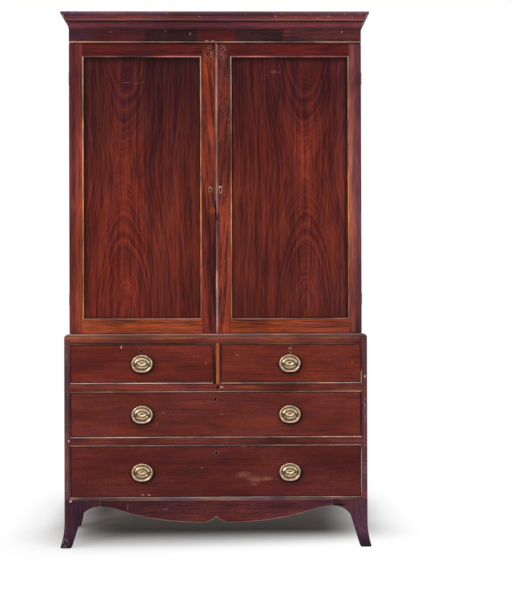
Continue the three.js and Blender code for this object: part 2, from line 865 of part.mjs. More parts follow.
// The bead planted on the right door's edge covers the joint between the doors.
function meetingBead(span) {
  const quarter = meetingBeadWidth / 4;
  const proudY = doorFaceY - meetingBeadProud;
  const plan = [
    [span[0], doorBackY],
    [span[0], doorFaceY - meetingBeadProud / 3],
    [span[0] + quarter, proudY],
    [span[1] - quarter, proudY],
    [span[1], doorFaceY - meetingBeadProud / 3],
    [span[1], doorBackY],
  ];
  const shape = new THREE.Shape(plan.map(([x, y]) => new THREE.Vector2(x, y)));
  const geometry = new THREE.ExtrudeGeometry(shape, { depth: doorHeight, bevelEnabled: false });
  const mesh = piece('meeting_bead', facedOut(weld(geometry)), finishes.doorFrame);
  mesh.position.z = doorBottom;
  return mesh;
}

function door(side) {
  const group = new THREE.Group();
  const isLeft = side < 0;
  const beadSpan = [meetingGap / 2, meetingGap / 2 + meetingBeadWidth];
  const span = isLeft ? [-upperHalf, -meetingGap / 2] : [beadSpan[1] + seatGap, upperHalf];
  const opening = isLeft ? [span[0] + leftHingeStile, span[1] - leftMeetingStile]
    : [span[0] + rightMeetingStile, span[1] - rightHingeStile];
  group.add(doorFrame(side, span, opening), doorPanel(side, opening));
  for (const levelName of Object.keys(hingeLevels())) {
    group.add(placedHingeLeaf(side, levelName, true));
  }
  if (!isLeft) {
    group.add(meetingBead(beadSpan));
  }
  return group;
}

// Drawers

// The small half-round bead let in round the edge of a drawer front. The outline runs
// anticlockwise when seen from the front, so the bead's section lies inward.
function cockbead(x, z) {
  const section = [
    [0, -cockbeadWidth],
    [0, cockbeadProud / 2],
    [cockbeadWidth / 3, cockbeadProud],
    [cockbeadWidth * 2 / 3, cockbeadProud],
    [cockbeadWidth, cockbeadProud / 2],
    [cockbeadWidth, -cockbeadWidth],
  ];
  return uprightToFront(mitredSweep(rectangle(x, z), section, true)).translate(0, frontY, 0);
}

function drawer(name, x, z) {
  const group = new THREE.Group();
  const frontX = [x[0] + drawerClearance, x[1] - drawerClearance];
  const frontZ = [z[0] + drawerClearance, z[1] - drawerClearance];
  const frontBack = frontY + drawerFrontThickness;
  const plain = block(frontX, [frontY, frontBack], frontZ);
  const face = toGeometry(joined([plain, cockbead(frontX, frontZ)]));
  group.add(piece(`drawer_front_${name}`, face, finishes.drawerFront));

  const run = [frontBack + seatGap, backBoardY - drawerRearSpace];
  const boxZ = [z[0] + seatGap, frontZ[1] - drawerSideDrop];
  const innerX = [frontX[0] + drawerSideThickness, frontX[1] - drawerSideThickness];
  const innerRun = [run[0] - cutOverrun, run[1] - drawerSideThickness];
  const bottomZ = boxZ[0] + drawerBottomRise;
  const box = cutFrom(toSolid(block(frontX, run, boxZ)), [
    block(innerX, innerRun, [bottomZ + drawerBottomThickness, boxZ[1] + cutOverrun]),
    block(innerX, [innerRun[0], run[1] + cutOverrun], [boxZ[0] - cutOverrun, bottomZ]),
  ]);
  group.add(piece(`drawer_box_${name}`, toGeometry(box), finishes.secondary));
  return group;
}

function drawers() {
  const group = new THREE.Group();
  const dividerLeft = dividerOffset - dividerWidth / 2;
  const dividerRight = dividerOffset + dividerWidth / 2;
  const topZ = [upperRailTop, lowerTopBottom];
  group.add(
    drawer('top_left', [-lowerInner, dividerLeft], topZ),
    drawer('top_right', [dividerRight, lowerInner], topZ),
    drawer('middle', [-lowerInner, lowerInner], [lowerRailTop, upperRailBottom]),
    drawer('bottom', [-lowerInner, lowerInner], [bottomBoardTop, lowerRailBottom]),
  );
  return group;
}

// Handles: an oval plate with two posts, and a bail that swings in them

function platePost(side) {
  const points = postProfileShares.map(([out, up]) => (
    new THREE.Vector2(out * postRadius, up * postLength)
  ));
  const geometry = facedOut(weld(new THREE.LatheGeometry(points, postSides)));
  return geometry.rotateX(Math.PI).translate(side * platePosts / 2, 0, -platePostDrop);
}

function crossBar(radius, from, to, sides) {
  const geometry = new THREE.CylinderGeometry(radius, radius, to - from, sides);
  return geometry.rotateZ(Math.PI / 2).translate((from + to) / 2, 0, 0);
}

function handlePlate() {
  const points = plateProfileShares.map(([out, up]) => (
    new THREE.Vector2(out * plateWidth / 2, up * plateThickness)
  ));
  const oval = facedOut(weld(new THREE.LatheGeometry(points, plateSides)));
  oval.scale(1, 1, plateHeight / plateWidth).rotateX(Math.PI);
  const boreEnd = platePosts / 2 + postRadius + cutOverrun;
  const bore = crossBar(bailPinRadius + bailPinPlay, -boreEnd, boreEnd, postSides);
  bore.translate(0, -pivotShare * postLength, -platePostDrop);
  return toGeometry(cutFrom(joined([oval, platePost(-1), platePost(1)]), [bore]));
}

// The bail's loop is a rounded half oval hanging from its two pins.
function handleBail() {
  const points = [];
  for (let i = 0; i <= bailSteps; i += 1) {
    const angle = Math.PI * i / bailSteps;
    const across = Math.sign(Math.cos(angle)) * Math.abs(Math.cos(angle)) ** (2 / bailSquareness);
    const down = Math.sin(angle) ** (2 / bailSquareness);
    points.push(new THREE.Vector3(across * bailHalfWidth, 0, -down * bailDrop));
  }
  const section = new THREE.Shape();
  for (let i = 0; i < bailSides; i += 1) {
    const angle = 2 * Math.PI * i / bailSides;
    const point = [bailRadius * Math.cos(angle), bailRadius * Math.sin(angle)];
    if (i === 0) {
      section.moveTo(...point);
    } else {
      section.lineTo(...point);
    }
  }
  const extrudePath = new THREE.CatmullRomCurve3(points);
  const loop = new THREE.ExtrudeGeometry(section, { steps: bailSteps, extrudePath });
  const pinEnd = platePosts / 2 - bailPinEnd;
  const pins = [
    crossBar(bailPinRadius, pinEnd, bailHalfWidth, bailSides),
    crossBar(bailPinRadius, -bailHalfWidth, -pinEnd, bailSides),
  ];
  const eyes = [-1, 1].map((side) => {
    const eye = new THREE.SphereGeometry(bailRadius, bailSides, bailSides / 2);
    return eye.translate(side * bailHalfWidth, 0, 0);
  });
  return toGeometry(joined([facedOut(weld(loop)), ...eyes, ...pins]));
}

function handle(name, x, z) {
  const group = new THREE.Group();
  const plate = piece(`handle_plate_${name}`, handlePlate(), finishes.brass);
  const bail = piece(`handle_bail_${name}`, handleBail(), finishes.brass);
  bail.position.set(0, -pivotShare * postLength, -platePostDrop);
  group.add(plate, bail);
  group.position.set(x, frontY - seatGap, z);
  return group;
}

function handles() {
  const group = new THREE.Group();
  const rows = {
    top: (upperRailTop + lowerTopBottom) / 2,
    middle: (lowerRailTop + upperRailBottom) / 2,
    bottom: (bottomBoardTop + lowerRailBottom) / 2 - bottomHandleDrop,
  };
  for (const [row, z] of Object.entries(rows)) {
    for (const side of [-1, 1]) {
      group.add(handle(`${row}_${sideName(side)}`, side * handleSpread / 2, z));
    }
  }
  return group;
}

function caseHinges() {
  const group = new THREE.Group();
  for (const side of [-1, 1]) {
    for (const levelName of Object.keys(hingeLevels())) {
      group.add(placedHingeLeaf(side, levelName, false));
    }
  }
  return group;
}

const press = new THREE.Group();
press.add(base(), lowerCase(), upperCase(), caseHinges());
press.add(door(-1), door(1), drawers(), handles());

export default press;
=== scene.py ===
# The linen press in its finish: veneers, beads, mouldings, brass handles and the floor it stands on.
# Metres. X runs across the press, its front faces -Y, and Z is the height above the floor.

import math

import bmesh
import bpy
from mathutils import Matrix, Vector


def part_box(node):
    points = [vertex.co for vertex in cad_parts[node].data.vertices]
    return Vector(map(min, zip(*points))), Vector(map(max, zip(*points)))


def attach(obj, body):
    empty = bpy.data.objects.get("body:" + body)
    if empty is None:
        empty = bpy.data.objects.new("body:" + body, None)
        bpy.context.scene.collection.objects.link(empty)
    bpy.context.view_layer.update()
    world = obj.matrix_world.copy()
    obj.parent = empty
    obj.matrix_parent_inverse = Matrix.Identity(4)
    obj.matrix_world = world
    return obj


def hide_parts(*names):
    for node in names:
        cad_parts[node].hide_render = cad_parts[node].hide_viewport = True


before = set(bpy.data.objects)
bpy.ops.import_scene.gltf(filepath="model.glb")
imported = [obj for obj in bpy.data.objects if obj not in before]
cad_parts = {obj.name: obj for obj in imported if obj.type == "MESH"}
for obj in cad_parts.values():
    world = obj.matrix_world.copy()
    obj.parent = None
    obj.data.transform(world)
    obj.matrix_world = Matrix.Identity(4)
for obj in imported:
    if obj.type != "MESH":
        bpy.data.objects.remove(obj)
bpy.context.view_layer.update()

MM = 0.001
SIDES = {-1: "left", 1: "right"}

# Places taken from the frame

DOOR_FRAMES = {side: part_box(f"{name}_door_frame") for side, name in SIDES.items()}
DOOR_PANELS = {side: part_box(f"{name}_door_panel") for side, name in SIDES.items()}
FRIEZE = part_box("frieze")
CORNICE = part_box("cornice")
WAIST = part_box("waist_moulding")
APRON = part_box("front_apron")
LOWER_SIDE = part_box("lower_side_right")
UPPER_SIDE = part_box("upper_side_right")

FRONT_Y = LOWER_SIDE[0].y
BACK_Y = LOWER_SIDE[1].y
LOWER_HALF = LOWER_SIDE[1].x
UPPER_HALF = UPPER_SIDE[1].x
DOOR_BOTTOM = DOOR_FRAMES[-1][0].z
DOOR_TOP = DOOR_FRAMES[-1][1].z
DOOR_BACK_Y = DOOR_FRAMES[-1][1].y
DOOR_THICKNESS = 24 * MM
DOOR_FACE_Y = DOOR_BACK_Y - DOOR_THICKNESS
SEAT_GAP = 0.3 * MM

# Sizes of the finished pieces

FOOT_WING = 137 * MM
FOOT_FLARE = 16 * MM
FLARE_HEIGHT = 100 * MM
FOOT_TOE = 28 * MM
FOOT_WAIST = 62 * MM
REAR_TOE = 8 * MM
REAR_WAIST = 30 * MM
REAR_WING = 64 * MM
FOOT_WAIST_HEIGHT = 112 * MM
ARCH_HEIGHT = 161 * MM
BASE_HEIGHT = 186 * MM
FOOT_THICKNESS = 20 * MM
TOE_ROUNDING = 8 * MM
ARCH_START = (0.12, 0.67)
ARCH_END = (0.58, 1.0)
APRON_SHARES = [
    (1, 1), (0.9, 0.955), (0.818, 0.898), (0.737, 0.826), (0.589, 0.727),
    (0.394, 0.646), (0.166, 0.602), (0.068, 0.627), (0, 0.745),
]

CORNICE_PROJECTION = 30 * MM
CORNICE_SEAT = 45 * MM
CORNICE_SHELF = 20 * MM
FRIEZE_BEAD = 6 * MM
FRIEZE_BEAD_PROUD = 4 * MM

PANEL_LAP = 9 * MM
PANEL_BEAD = 5 * MM
PANEL_BEAD_PROUD = 1.2 * MM
PANEL_RECESS = 8 * MM
TOP_RAIL = 47 * MM
BOTTOM_RAIL = 53 * MM
HINGE_PLAY = 0.4 * MM
OPENINGS = {side: (low.x + PANEL_LAP, high.x - PANEL_LAP) for side, (low, high) in DOOR_PANELS.items()}
OPENING_RISE = (DOOR_BOTTOM + BOTTOM_RAIL, DOOR_TOP - TOP_RAIL)

COCKBEAD = 4 * MM
COCKBEAD_PROUD = 2 * MM
DRAWER_FRONT = 22 * MM

HANDLE_X = 290 * MM
HANDLE_LEVELS = {"top": 720 * MM, "middle": 520.5 * MM, "bottom": 294 * MM}
PLATE_WIDTH = 84 * MM
PLATE_HEIGHT = 69 * MM
PLATE_DEPTH = 5 * MM
POST_SPREAD = 28 * MM
POST_DROP = 4 * MM
POST_RADIUS = 4.2 * MM
POST_LENGTH = 15 * MM
PIVOT_OUT = 10.5 * MM
BAIL_HALF = 36 * MM
BAIL_DROP = 27 * MM
BAIL_RADIUS = 2.9 * MM
BAIL_END_RADIUS = 2.2 * MM
BAIL_EYE_SHARE = 1.08
BAIL_SQUARENESS = 2.4
BAIL_SWELL = 0.7
BAIL_STEPS = 48
BAIL_SIDES = 16
PIN_RADIUS = 1.9 * MM
PIN_INNER = 23 * MM

# Keyholes in millimetres: x, z, radius of the hole, width and length of its slot
KEYHOLES = {
    "left_door": (-20.8, 1406, 3.2, 3.4, 6),
    "right_door": (19.3, 1408, 3.2, 3.6, 10),
    "top_left": (-292.9, 771, 4.0, 3.4, 5),
    "top_right": (292.1, 775, 2.8, 2.6, 7),
    "middle": (-2.7, 582, 3.6, 3.2, 6),
    "bottom": (1.0, 371, 3.6, 3.2, 7),
}
KEYHOLE_DEPTH = 9 * MM
CUTTER_OVERRUN = 5 * MM
KEYHOLE_BLACK_SHARE = 1.1

# How far the sharp edges are rounded
FOOT_ROUNDING = 1.2 * MM
APRON_ROUNDING = 2 * MM
CORNICE_ROUNDING = 0.5 * MM
WAIST_ROUNDING = 0.4 * MM
FRONT_ROUNDING = 0.3 * MM
DOOR_ROUNDING = 0.5 * MM
MEETING_ROUNDING = 0.4 * MM
LOWER_SIDE_ROUNDING = 1.2 * MM
UPPER_SIDE_ROUNDING = 1.0 * MM
BOARD_ROUNDING = 0.8 * MM

# Angles between faces: smooth up to the first, rounded from the second, one flat face up to the third
SMOOTH_UP_TO = math.radians(40)
ROUNDED_FROM = math.radians(35)
FLAT_UP_TO = math.radians(0.5)

# Points closer than this are joined
JOIN_REACH = 0.01 * MM


def shade(colour):
    """A display colour of 0 to 255 as the shader's own values. A colour of four shares is kept."""
    def linear(value):
        share = value / 255
        return share / 12.92 if share <= 0.04045 else ((share + 0.055) / 1.055) ** 2.4
    return colour if len(colour) == 4 else (*map(linear, colour), 1.0)


# Node trees


class Value:
    """What a socket gives. Arithmetic on it adds nodes to its tree."""

    def __init__(self, tree, socket):
        self.tree = tree
        self.socket = socket

    def __add__(self, other):
        return self.tree.math("ADD", self, other)

    def __sub__(self, other):
        return self.tree.math("SUBTRACT", self, other)

    def __rsub__(self, other):
        return self.tree.math("SUBTRACT", other, self)

    def __mul__(self, other):
        return self.tree.math("MULTIPLY", self, other)

    def __truediv__(self, other):
        return self.tree.math("DIVIDE", self, other)

    def __rtruediv__(self, other):
        return self.tree.math("DIVIDE", other, self)


class Tree:
    """Adds nodes to one node tree and joins them."""

    def __init__(self, tree):
        self.tree = tree

    def node(self, kind, inputs=None, **settings):
        """A new node with its settings. Its inputs are given by name or by number."""
        made = self.tree.nodes.new(kind)
        for name, value in settings.items():
            setattr(made, name, value)
        for key, value in (inputs or {}).items():
            self.put(value, made.inputs[key])
        return made

    def put(self, value, socket):
        if isinstance(value, Value):
            value = value.socket
        if isinstance(value, bpy.types.NodeSocket):
            self.tree.links.new(value, socket)
        else:
            socket.default_value = value

    def given(self, kind, inputs, output=0, **settings):
        """A new node's output."""
        return Value(self, self.node(kind, inputs, **settings).outputs[output])

    def outputs_of(self, node):
        return {socket.name: Value(self, socket) for socket in node.outputs}

    def math(self, operation, a, b=0.0, c=0.0):
        return self.given("ShaderNodeMath", {0: a, 1: b, 2: c}, operation=operation)

    def absolute(self, value):
        return self.math("ABSOLUTE", value)

    def clamped(self, value):
        return self.given("ShaderNodeClamp", {0: value})

    def vector(self, operation, a, b=(0.0, 0.0, 0.0)):
        output = "Value" if operation == "LENGTH" else "Vector"
        return self.given("ShaderNodeVectorMath", {0: a, 1: b}, output, operation=operation)

    def split(self, vector):
        made = self.node("ShaderNodeSeparateXYZ", {0: vector})
        return [Value(self, socket) for socket in made.outputs]

    def join(self, x, y, z):
        return self.given("ShaderNodeCombineXYZ", {0: x, 1: y, 2: z})

    def noise(self, vector, repeats=None, detail=2.0, roughness=0.5):
        """Noise that repeats so many times in a metre, each way."""
        if repeats:
            vector = self.vector("MULTIPLY", vector, repeats)
        values = {"Vector": vector, "Scale": 1.0, "Detail": detail, "Roughness": roughness}
        return self.given("ShaderNodeTexNoise", values, "Fac")

    def line_noise(self, value, scale, detail, roughness):
        values = {"W": value, "Scale": scale, "Detail": detail, "Roughness": roughness}
        return self.given("ShaderNodeTexNoise", values, "Fac", noise_dimensions="1D")

    def spread(self, value, low, high, to_low=0.0, to_high=1.0, soft=True):
        """Runs from to_low to to_high while the value runs from low to high."""
        values = dict(enumerate((value, low, high, to_low, to_high)))
        kind = "SMOOTHSTEP" if soft else "LINEAR"
        return self.given("ShaderNodeMapRange", values, interpolation_type=kind)

    def blend(self, share, a, b, how="MIX"):
        values = {0: share, 6: a, 7: b}
        return self.given("ShaderNodeMix", values, 2, data_type="RGBA", blend_type=how)

    def times(self, a, b):
        """One colour multiplied by another."""
        return self.blend(1.0, a, b, "MULTIPLY")

    def ramp(self, value, stops):
        made = self.node("ShaderNodeValToRGB", {0: value})
        elements = made.color_ramp.elements
        while len(elements) < len(stops):
            elements.new(1.0)
        for element, (place, colour) in zip(elements, stops):
            element.position = place
            element.color = colour
        return Value(self, made.outputs[0])

    def mapped(self, vector, move=(0.0, 0.0, 0.0), turn=(0.0, 0.0, 0.0)):
        return self.given("ShaderNodeMapping", {"Vector": vector, "Location": move, "Rotation": turn})

    def group(self, tree, **values):
        inputs = {name.replace("_", " ").title(): value for name, value in values.items()}
        made = self.node("ShaderNodeGroup", node_tree=tree)
        for name, value in inputs.items():
            self.put(value, made.inputs[name])
        return self.outputs_of(made)

    def bump(self, height, strength, distance):
        return self.given("ShaderNodeBump", {"Strength": strength, "Distance": distance, "Height": height})

    def seen_directly(self):
        """One for what the camera sees, by itself or in metal and glass."""
        path = self.node("ShaderNodeLightPath").outputs
        mirrored = self.math("MAXIMUM", path["Is Glossy Ray"], path["Is Transmission Ray"])
        return self.math("MAXIMUM", path["Is Camera Ray"], mirrored)


SOCKET_KINDS = {
    float: "NodeSocketFloat", int: "NodeSocketInt", tuple: "NodeSocketVector", str: "NodeSocketMaterial",
    type(None): "NodeSocketGeometry",
}


def node_group(kind, name, inputs, outputs):
    """A new group of nodes with named sockets. Returns its tree, its inputs and what ends it."""
    made = bpy.data.node_groups.new(name, kind)
    for in_out, sockets in (("INPUT", inputs), ("OUTPUT", outputs)):
        for title, value in sockets.items():
            kind_of_socket = SOCKET_KINDS[type(value)]
            socket = made.interface.new_socket(name=title, in_out=in_out, socket_type=kind_of_socket)
            if value:
                socket.default_value = value
    tree = Tree(made)

    def finish(**results):
        tree.node("NodeGroupOutput", results)
        return made
    return tree, tree.outputs_of(tree.node("NodeGroupInput")), finish


# Sizes of the patterns, as repeats in a metre: across the grain both ways, then along it
GRAIN_DRIFT = (5.0, 5.0, 1.7)
DARK_STREAKS = (130.0, 130.0, 4.5)
OPEN_PORES = (1500.0, 1500.0, 70.0)
BAND_ALONG = 1.3
LINE_ALONG = 11.0
TRUNK_SWAY = (4.0, 4.0, 1.6)
TRUNK_RIPPLE = (30.0, 30.0, 5.0)
CLOUDS = (9.0, 9.0, 3.2)
HUES = (21.0, 21.0, 8.0)
FLECKS = (250.0, 250.0, 110.0)
HAZE = (16.0, 16.0, 16.0)
EDGE_BAND_RAGGEDNESS = (60.0, 60.0, 60.0)
STAINS = (3.0, 3.0, 3.0)
TARNISH = (90.0, 90.0, 90.0)
TARNISH_SPECKS = (900.0, 900.0, 900.0)
ORIGIN = (0.0, 0.0, 0.0)


def timber_grain():
    """Straight grain along Z: broad bands, fine lines and short open pores."""
    tree, entry, finish = node_group(
        "ShaderNodeTree", "timber_grain",
        {"Vector": ORIGIN, "Band": 0.03, "Wander": 0.012, "Line": 0.0028, "Contrast": 0.5},
        {"Tone": 0.0, "Pores": 0.0, "Height": 0.0},
    )
    drift = tree.noise(entry["Vector"], GRAIN_DRIFT, 1.0)
    sway = (drift - 0.5) * entry["Wander"]
    moved = tree.vector("ADD", entry["Vector"], tree.join(sway, sway, 0.0))
    x, y, z = tree.split(moved)
    band, line = entry["Band"], entry["Line"]
    bands = tree.noise(tree.join(x / band, y / band, z * BAND_ALONG), detail=4.0, roughness=0.62)
    lines = tree.noise(tree.join(x / line, y / line, z * LINE_ALONG), detail=3.0, roughness=0.65)
    streaks = tree.spread(tree.noise(moved, DARK_STREAKS, 2.0, 0.6), 0.52, 0.68)
    pores = tree.spread(tree.noise(moved, OPEN_PORES, 1.0), 0.6, 0.72)
    both = (bands - 0.5) * 2.2 + (lines - 0.5) * 2.4 - streaks * 0.45
    tone = tree.clamped(tree.math("MULTIPLY_ADD", both, entry["Contrast"], 0.56))
    return finish(Tone=tone, Pores=pores, Height=lines * 0.5 - pores)


def saddle_figure():
    """Figured veneer cut across a crooked trunk: points down above its centre and up below it."""
    tree, entry, finish = node_group(
        "ShaderNodeTree", "saddle_figure",
        {"Vector": ORIGIN, "Centre Height": 1.4, "Pith Depth": 0.3, "Crook": 0.34, "Ring": 0.011,
         "Sway": 0.03},
        {"Tone": 0.0, "Broad": 0.0},
    )
    softened = 0.1
    trembling = 0.004
    x, _, z = tree.split(entry["Vector"])
    sway = (tree.noise(entry["Vector"], TRUNK_SWAY, 2.0, 0.6) - 0.5) * entry["Sway"]
    tremble = (tree.noise(entry["Vector"], TRUNK_RIPPLE, 2.0, 0.6) - 0.5) * trembling
    rise = z - entry["Centre Height"]
    far = tree.math("SQRT", tree.math("MULTIPLY_ADD", rise, rise, softened ** 2))
    bow = (far - softened) * entry["Crook"]
    depth = entry["Pith Depth"] - bow + sway
    reach = tree.math("SQRT", x * x + depth * depth)
    ring = (reach + tremble) / entry["Ring"]
    return finish(Tone=tree.line_noise(ring, 1.0, 3.0, 0.7), Broad=tree.line_noise(ring, 0.22, 2.0, 0.5))


def wear_and_painted_light_patch():
    """A mask round one place, with a ragged edge. Where it is broken it is made of small specks."""
    tree, entry, finish = node_group(
        "ShaderNodeTree", "wear_and_painted_light_patch",
        {"Vector": ORIGIN, "Centre": ORIGIN, "Size": (0.01, 1.0, 0.01), "Ragged": 0.5, "Grain Size": 0.006,
         "Softness": 0.4, "Broken": 0.0},
        {"Mask": 0.0},
    )
    rim = 1.1
    away = tree.vector("DIVIDE", tree.vector("SUBTRACT", entry["Vector"], entry["Centre"]), entry["Size"])
    inputs = {0: entry["Vector"], "Scale": 1.0 / entry["Grain Size"]}
    fine = tree.noise(tree.given("ShaderNodeVectorMath", inputs, operation="SCALE"), None, 3.0, 0.6)
    edge = (fine - 0.5) * entry["Ragged"]
    distance = tree.vector("LENGTH", away) + edge * 2.4
    whole = tree.spread(distance, rim, rim - entry["Softness"])
    gaps = tree.spread(fine, 0.62, 0.52) * entry["Broken"]
    return finish(Mask=whole * (1.0 - gaps))


def edge_band_mask():
    """A mask along the four edges of an upright rectangle, broken up by noise. It places old wax and painted
    shade.
    """
    tree, entry, finish = node_group(
        "ShaderNodeTree", "edge_band_mask",
        {"Vector": ORIGIN, "Low": ORIGIN, "High": (1.0, 1.0, 1.0), "Width": 0.004, "Ragged": 0.6},
        {"Mask": 0.0},
    )
    low = tree.split(tree.vector("SUBTRACT", entry["Vector"], entry["Low"]))
    high = tree.split(tree.vector("SUBTRACT", entry["High"], entry["Vector"]))
    sides = tree.math("MINIMUM", low[0], high[0])
    ends = tree.math("MINIMUM", low[2], high[2])
    nearest = tree.math("MINIMUM", sides, ends) / entry["Width"]
    edge = (tree.noise(entry["Vector"], EDGE_BAND_RAGGEDNESS, 3.0, 0.65) - 0.5) * entry["Ragged"]
    return finish(Mask=tree.spread(nearest + edge * 3.0, 1.0, 0.2))


GRAIN = timber_grain()
FIGURE = saddle_figure()
PATCH = wear_and_painted_light_patch()
EDGE_BAND_MASK = edge_band_mask()

# Turns that lay the grain along the piece
ALONG = {
    "up": (0.0, 0.0, 0.0),
    "across": (0.0, math.radians(90), 0.0),
    "inward": (math.radians(90), 0.0, 0.0),
}

# In the finishes, places and sizes are in millimetres
FRONT = FRONT_Y / MM
BACK = BACK_Y / MM
HANDLE = HANDLE_X / MM
# Dirt and painted shade share one dark colour: shade in gaps, beside beads and under the handles
DIRT_AND_SHADE = (30, 13, 13)
OUTER_SHEEN = (176, 188, 255)
UPPER_SHADE = (178, 180, 205)
PINE_TONE = (150, 110, 74)
PORE_TONE = (26, 12, 11)
BARE_WOOD = (168, 122, 98)
SCUFF = (134, 82, 68)
FLECK = (172, 134, 126)
BLACK = (9, 6, 6)
WAX_AND_SHADE_LINE = 5
WAX_AND_SHADE_STRENGTH = 0.85
PORE_STRENGTH = 0.3
GRAIN_RELIEF = 0.3


def blank_material(name):
    made = bpy.data.materials.new(name)
    made.use_nodes = True
    return made, Tree(made.node_tree), made.node_tree.nodes["Principled BSDF"]


def polish(shader, level, roughness):
    shader.inputs["Specular IOR Level"].default_value = level
    shader.inputs["Roughness"].default_value = roughness


def place_of(tree):
    return tree.given("ShaderNodeTexCoord", {}, "Object")


def reading(tree, place, axis):
    """One coordinate of a place: x, y, z, or the distance out from the middle."""
    parts = dict(zip("xyz", tree.split(place)))
    return tree.absolute(parts["x"]) if axis == "out" else parts[axis]


def layered(axis, *stops):
    """A mean colour that changes along one axis. Each stop is a place and its colour."""
    low, high = stops[0][0], stops[-1][0]

    def colour_of(tree, place):
        share = tree.spread(reading(tree, place, axis), low * MM, high * MM, soft=False)
        return tree.ramp(share, [((at - low) / (high - low), shade(paint)) for at, paint in stops])
    return colour_of


def banded(axis, *spans):
    """A mean colour in bands. Each span is where it starts and ends, and the colour it holds between."""
    return layered(axis, *((at, paint) for start, end, paint in spans for at in (start, end)))


def washed(tree, place, colour, axis, low, high, paint, strength=1.0, how="MULTIPLY"):
    """Adds a tint that grows from the low place to the high one."""
    share = tree.spread(reading(tree, place, axis), low * MM, high * MM, 0.0, strength)
    return tree.blend(share, colour, shade(paint), how)


def bare(axis, low, high):
    """The wash to plain timber, past the edge of a veneer."""
    return axis, low, high, PINE_TONE, 1.0, "MIX"


def marked(tree, place, colour, x, z, half_x, half_z, paint, strength=0.8, ragged=0.6, speck=None,
           softness=0.4, how="MIX"):
    """Adds a spot on the front, with its half sizes, for wear and dirt and for painted shade and highlights.
    With a speck size it is made of specks.
    """
    grain_size = speck or max(0.3 * min(half_x, half_z), 1.2)
    mask = tree.group(
        PATCH, vector=place, centre=(x * MM, 0.0, z * MM), size=(half_x * MM, 1.0, half_z * MM),
        ragged=ragged, grain_size=grain_size * MM, softness=softness, broken=1.0 if speck else 0.0,
    )["Mask"]
    return tree.blend(mask * strength, colour, shade(paint), how)


def veneer(name, mean, along="up", band=26, line=5, wander=14, contrast=0.8, depth=0.5, warm=0.25,
           move=ORIGIN, tilt=0.0, mottle=0.3, hue=0.1, flecks=0.0, washes=(), wax_and_shade_edges=None, marks=(),
           level=0.06, roughness=0.38, figure=None):
    """Polished veneer: a mean colour, streaks along the grain, clouds, tints, old wax with painted shade,
    and small marks.
    Washes and marks are rows of what washed and marked take. Old wax and painted shade lie along a
    rectangle's edges."""
    made, tree, shader = blank_material(name)
    polish(shader, level, roughness)
    place = place_of(tree)
    turned = tree.mapped(place, move, ALONG[along])
    if tilt:
        turned = tree.mapped(turned, turn=(0.0, tilt, 0.0))
    grain = tree.group(GRAIN, vector=turned, band=band * MM, line=line * MM, wander=wander * MM,
                       contrast=contrast)
    tone = figure(tree, place, grain["Tone"]) if figure else grain["Tone"]
    dark = (1 - depth, 1 - depth * (0.6 + warm * 0.6), 1 - depth * 0.5, 1.0)
    light = (1 + depth, 1 + depth * (0.7 + warm), 1 + depth * (0.6 - warm * 0.6), 1.0)
    colour = mean(tree, place) if callable(mean) else shade(mean)
    colour = tree.times(colour, tree.blend(tone, dark, light))
    clouds = tree.noise(turned, CLOUDS, 3.0, 0.6)
    cloud_tone = tree.spread(clouds, 0.3, 0.7, 1.0 - mottle, 1.0 + mottle)
    colour = tree.times(colour, tree.join(cloud_tone, cloud_tone, cloud_tone))
    cold = (1 - 0.5 * hue, 1 - 0.3 * hue, 1 + hue, 1.0)
    hot = (1 + 0.5 * hue, 1 + 0.1 * hue, 1 - hue, 1.0)
    drift = tree.spread(tree.noise(turned, HUES, 2.0, 0.6), 0.35, 0.65)
    colour = tree.times(colour, tree.blend(drift, cold, hot))
    if flecks:
        spots = tree.spread(tree.noise(turned, FLECKS, 3.0, 0.7), 0.56, 0.68)
        where = spots * tree.spread(clouds, 0.38, 0.62, 0.2, 1.0)
        colour = tree.blend(where * flecks, colour, shade(FLECK))
    for row in washes:
        colour = washed(tree, place, colour, *row)
    colour = tree.blend(grain["Pores"] * PORE_STRENGTH, colour, shade(PORE_TONE))
    # A dark band inside the beads: old wax, with painted shade where the bead shades the face
    if wax_and_shade_edges:
        mask = tree.group(EDGE_BAND_MASK, vector=place, low=wax_and_shade_edges[0], high=wax_and_shade_edges[1], width=WAX_AND_SHADE_LINE * MM)["Mask"]
        colour = tree.blend(mask * WAX_AND_SHADE_STRENGTH, colour, shade(DIRT_AND_SHADE))
    for row in marks:
        colour = marked(tree, place, colour, *row)
    tree.put(colour, shader.inputs["Base Color"])
    haze = tree.spread(tree.noise(place, HAZE, 3.0, 0.6), 0.3, 0.7, roughness - 0.07, roughness + 0.13)
    tree.put(haze, shader.inputs["Roughness"])
    tree.put(tree.bump(grain["Height"], 0.22, GRAIN_RELIEF * MM), shader.inputs["Normal"])
    return made


# Mesh tools


def scene_object(name, data):
    made = bpy.data.objects.new(name, data)
    bpy.context.scene.collection.objects.link(made)
    return made


def mesh_piece(name, mesh, materials, body, replaced=(), bevel=0.0, segments=2):
    """Puts a finished mesh in the scene as a piece that rides on a body."""
    obj = scene_object(name, mesh)
    if not mesh.materials:
        for material in materials:
            mesh.materials.append(material)
    for polygon in mesh.polygons:
        polygon.use_smooth = True
    mesh.set_sharp_from_angle(angle=SMOOTH_UP_TO)
    if bevel:
        soften(obj, bevel, segments)
    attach(obj, body)
    if replaced:
        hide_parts(*replaced)
    return obj


def soften(obj, width, segments=2):
    """Rounds the sharp edges of a piece."""
    made = obj.modifiers.new("rounded edges", "BEVEL")
    made.width = width
    made.segments = segments
    made.limit_method = "ANGLE"
    made.angle_limit = ROUNDED_FROM
    made.harden_normals = True
    return made


def from_bmesh(name, work, recalculate=True):
    if recalculate:
        bmesh.ops.recalc_face_normals(work, faces=work.faces)
    mesh = bpy.data.meshes.new(name)
    work.to_mesh(mesh)
    work.free()
    return mesh


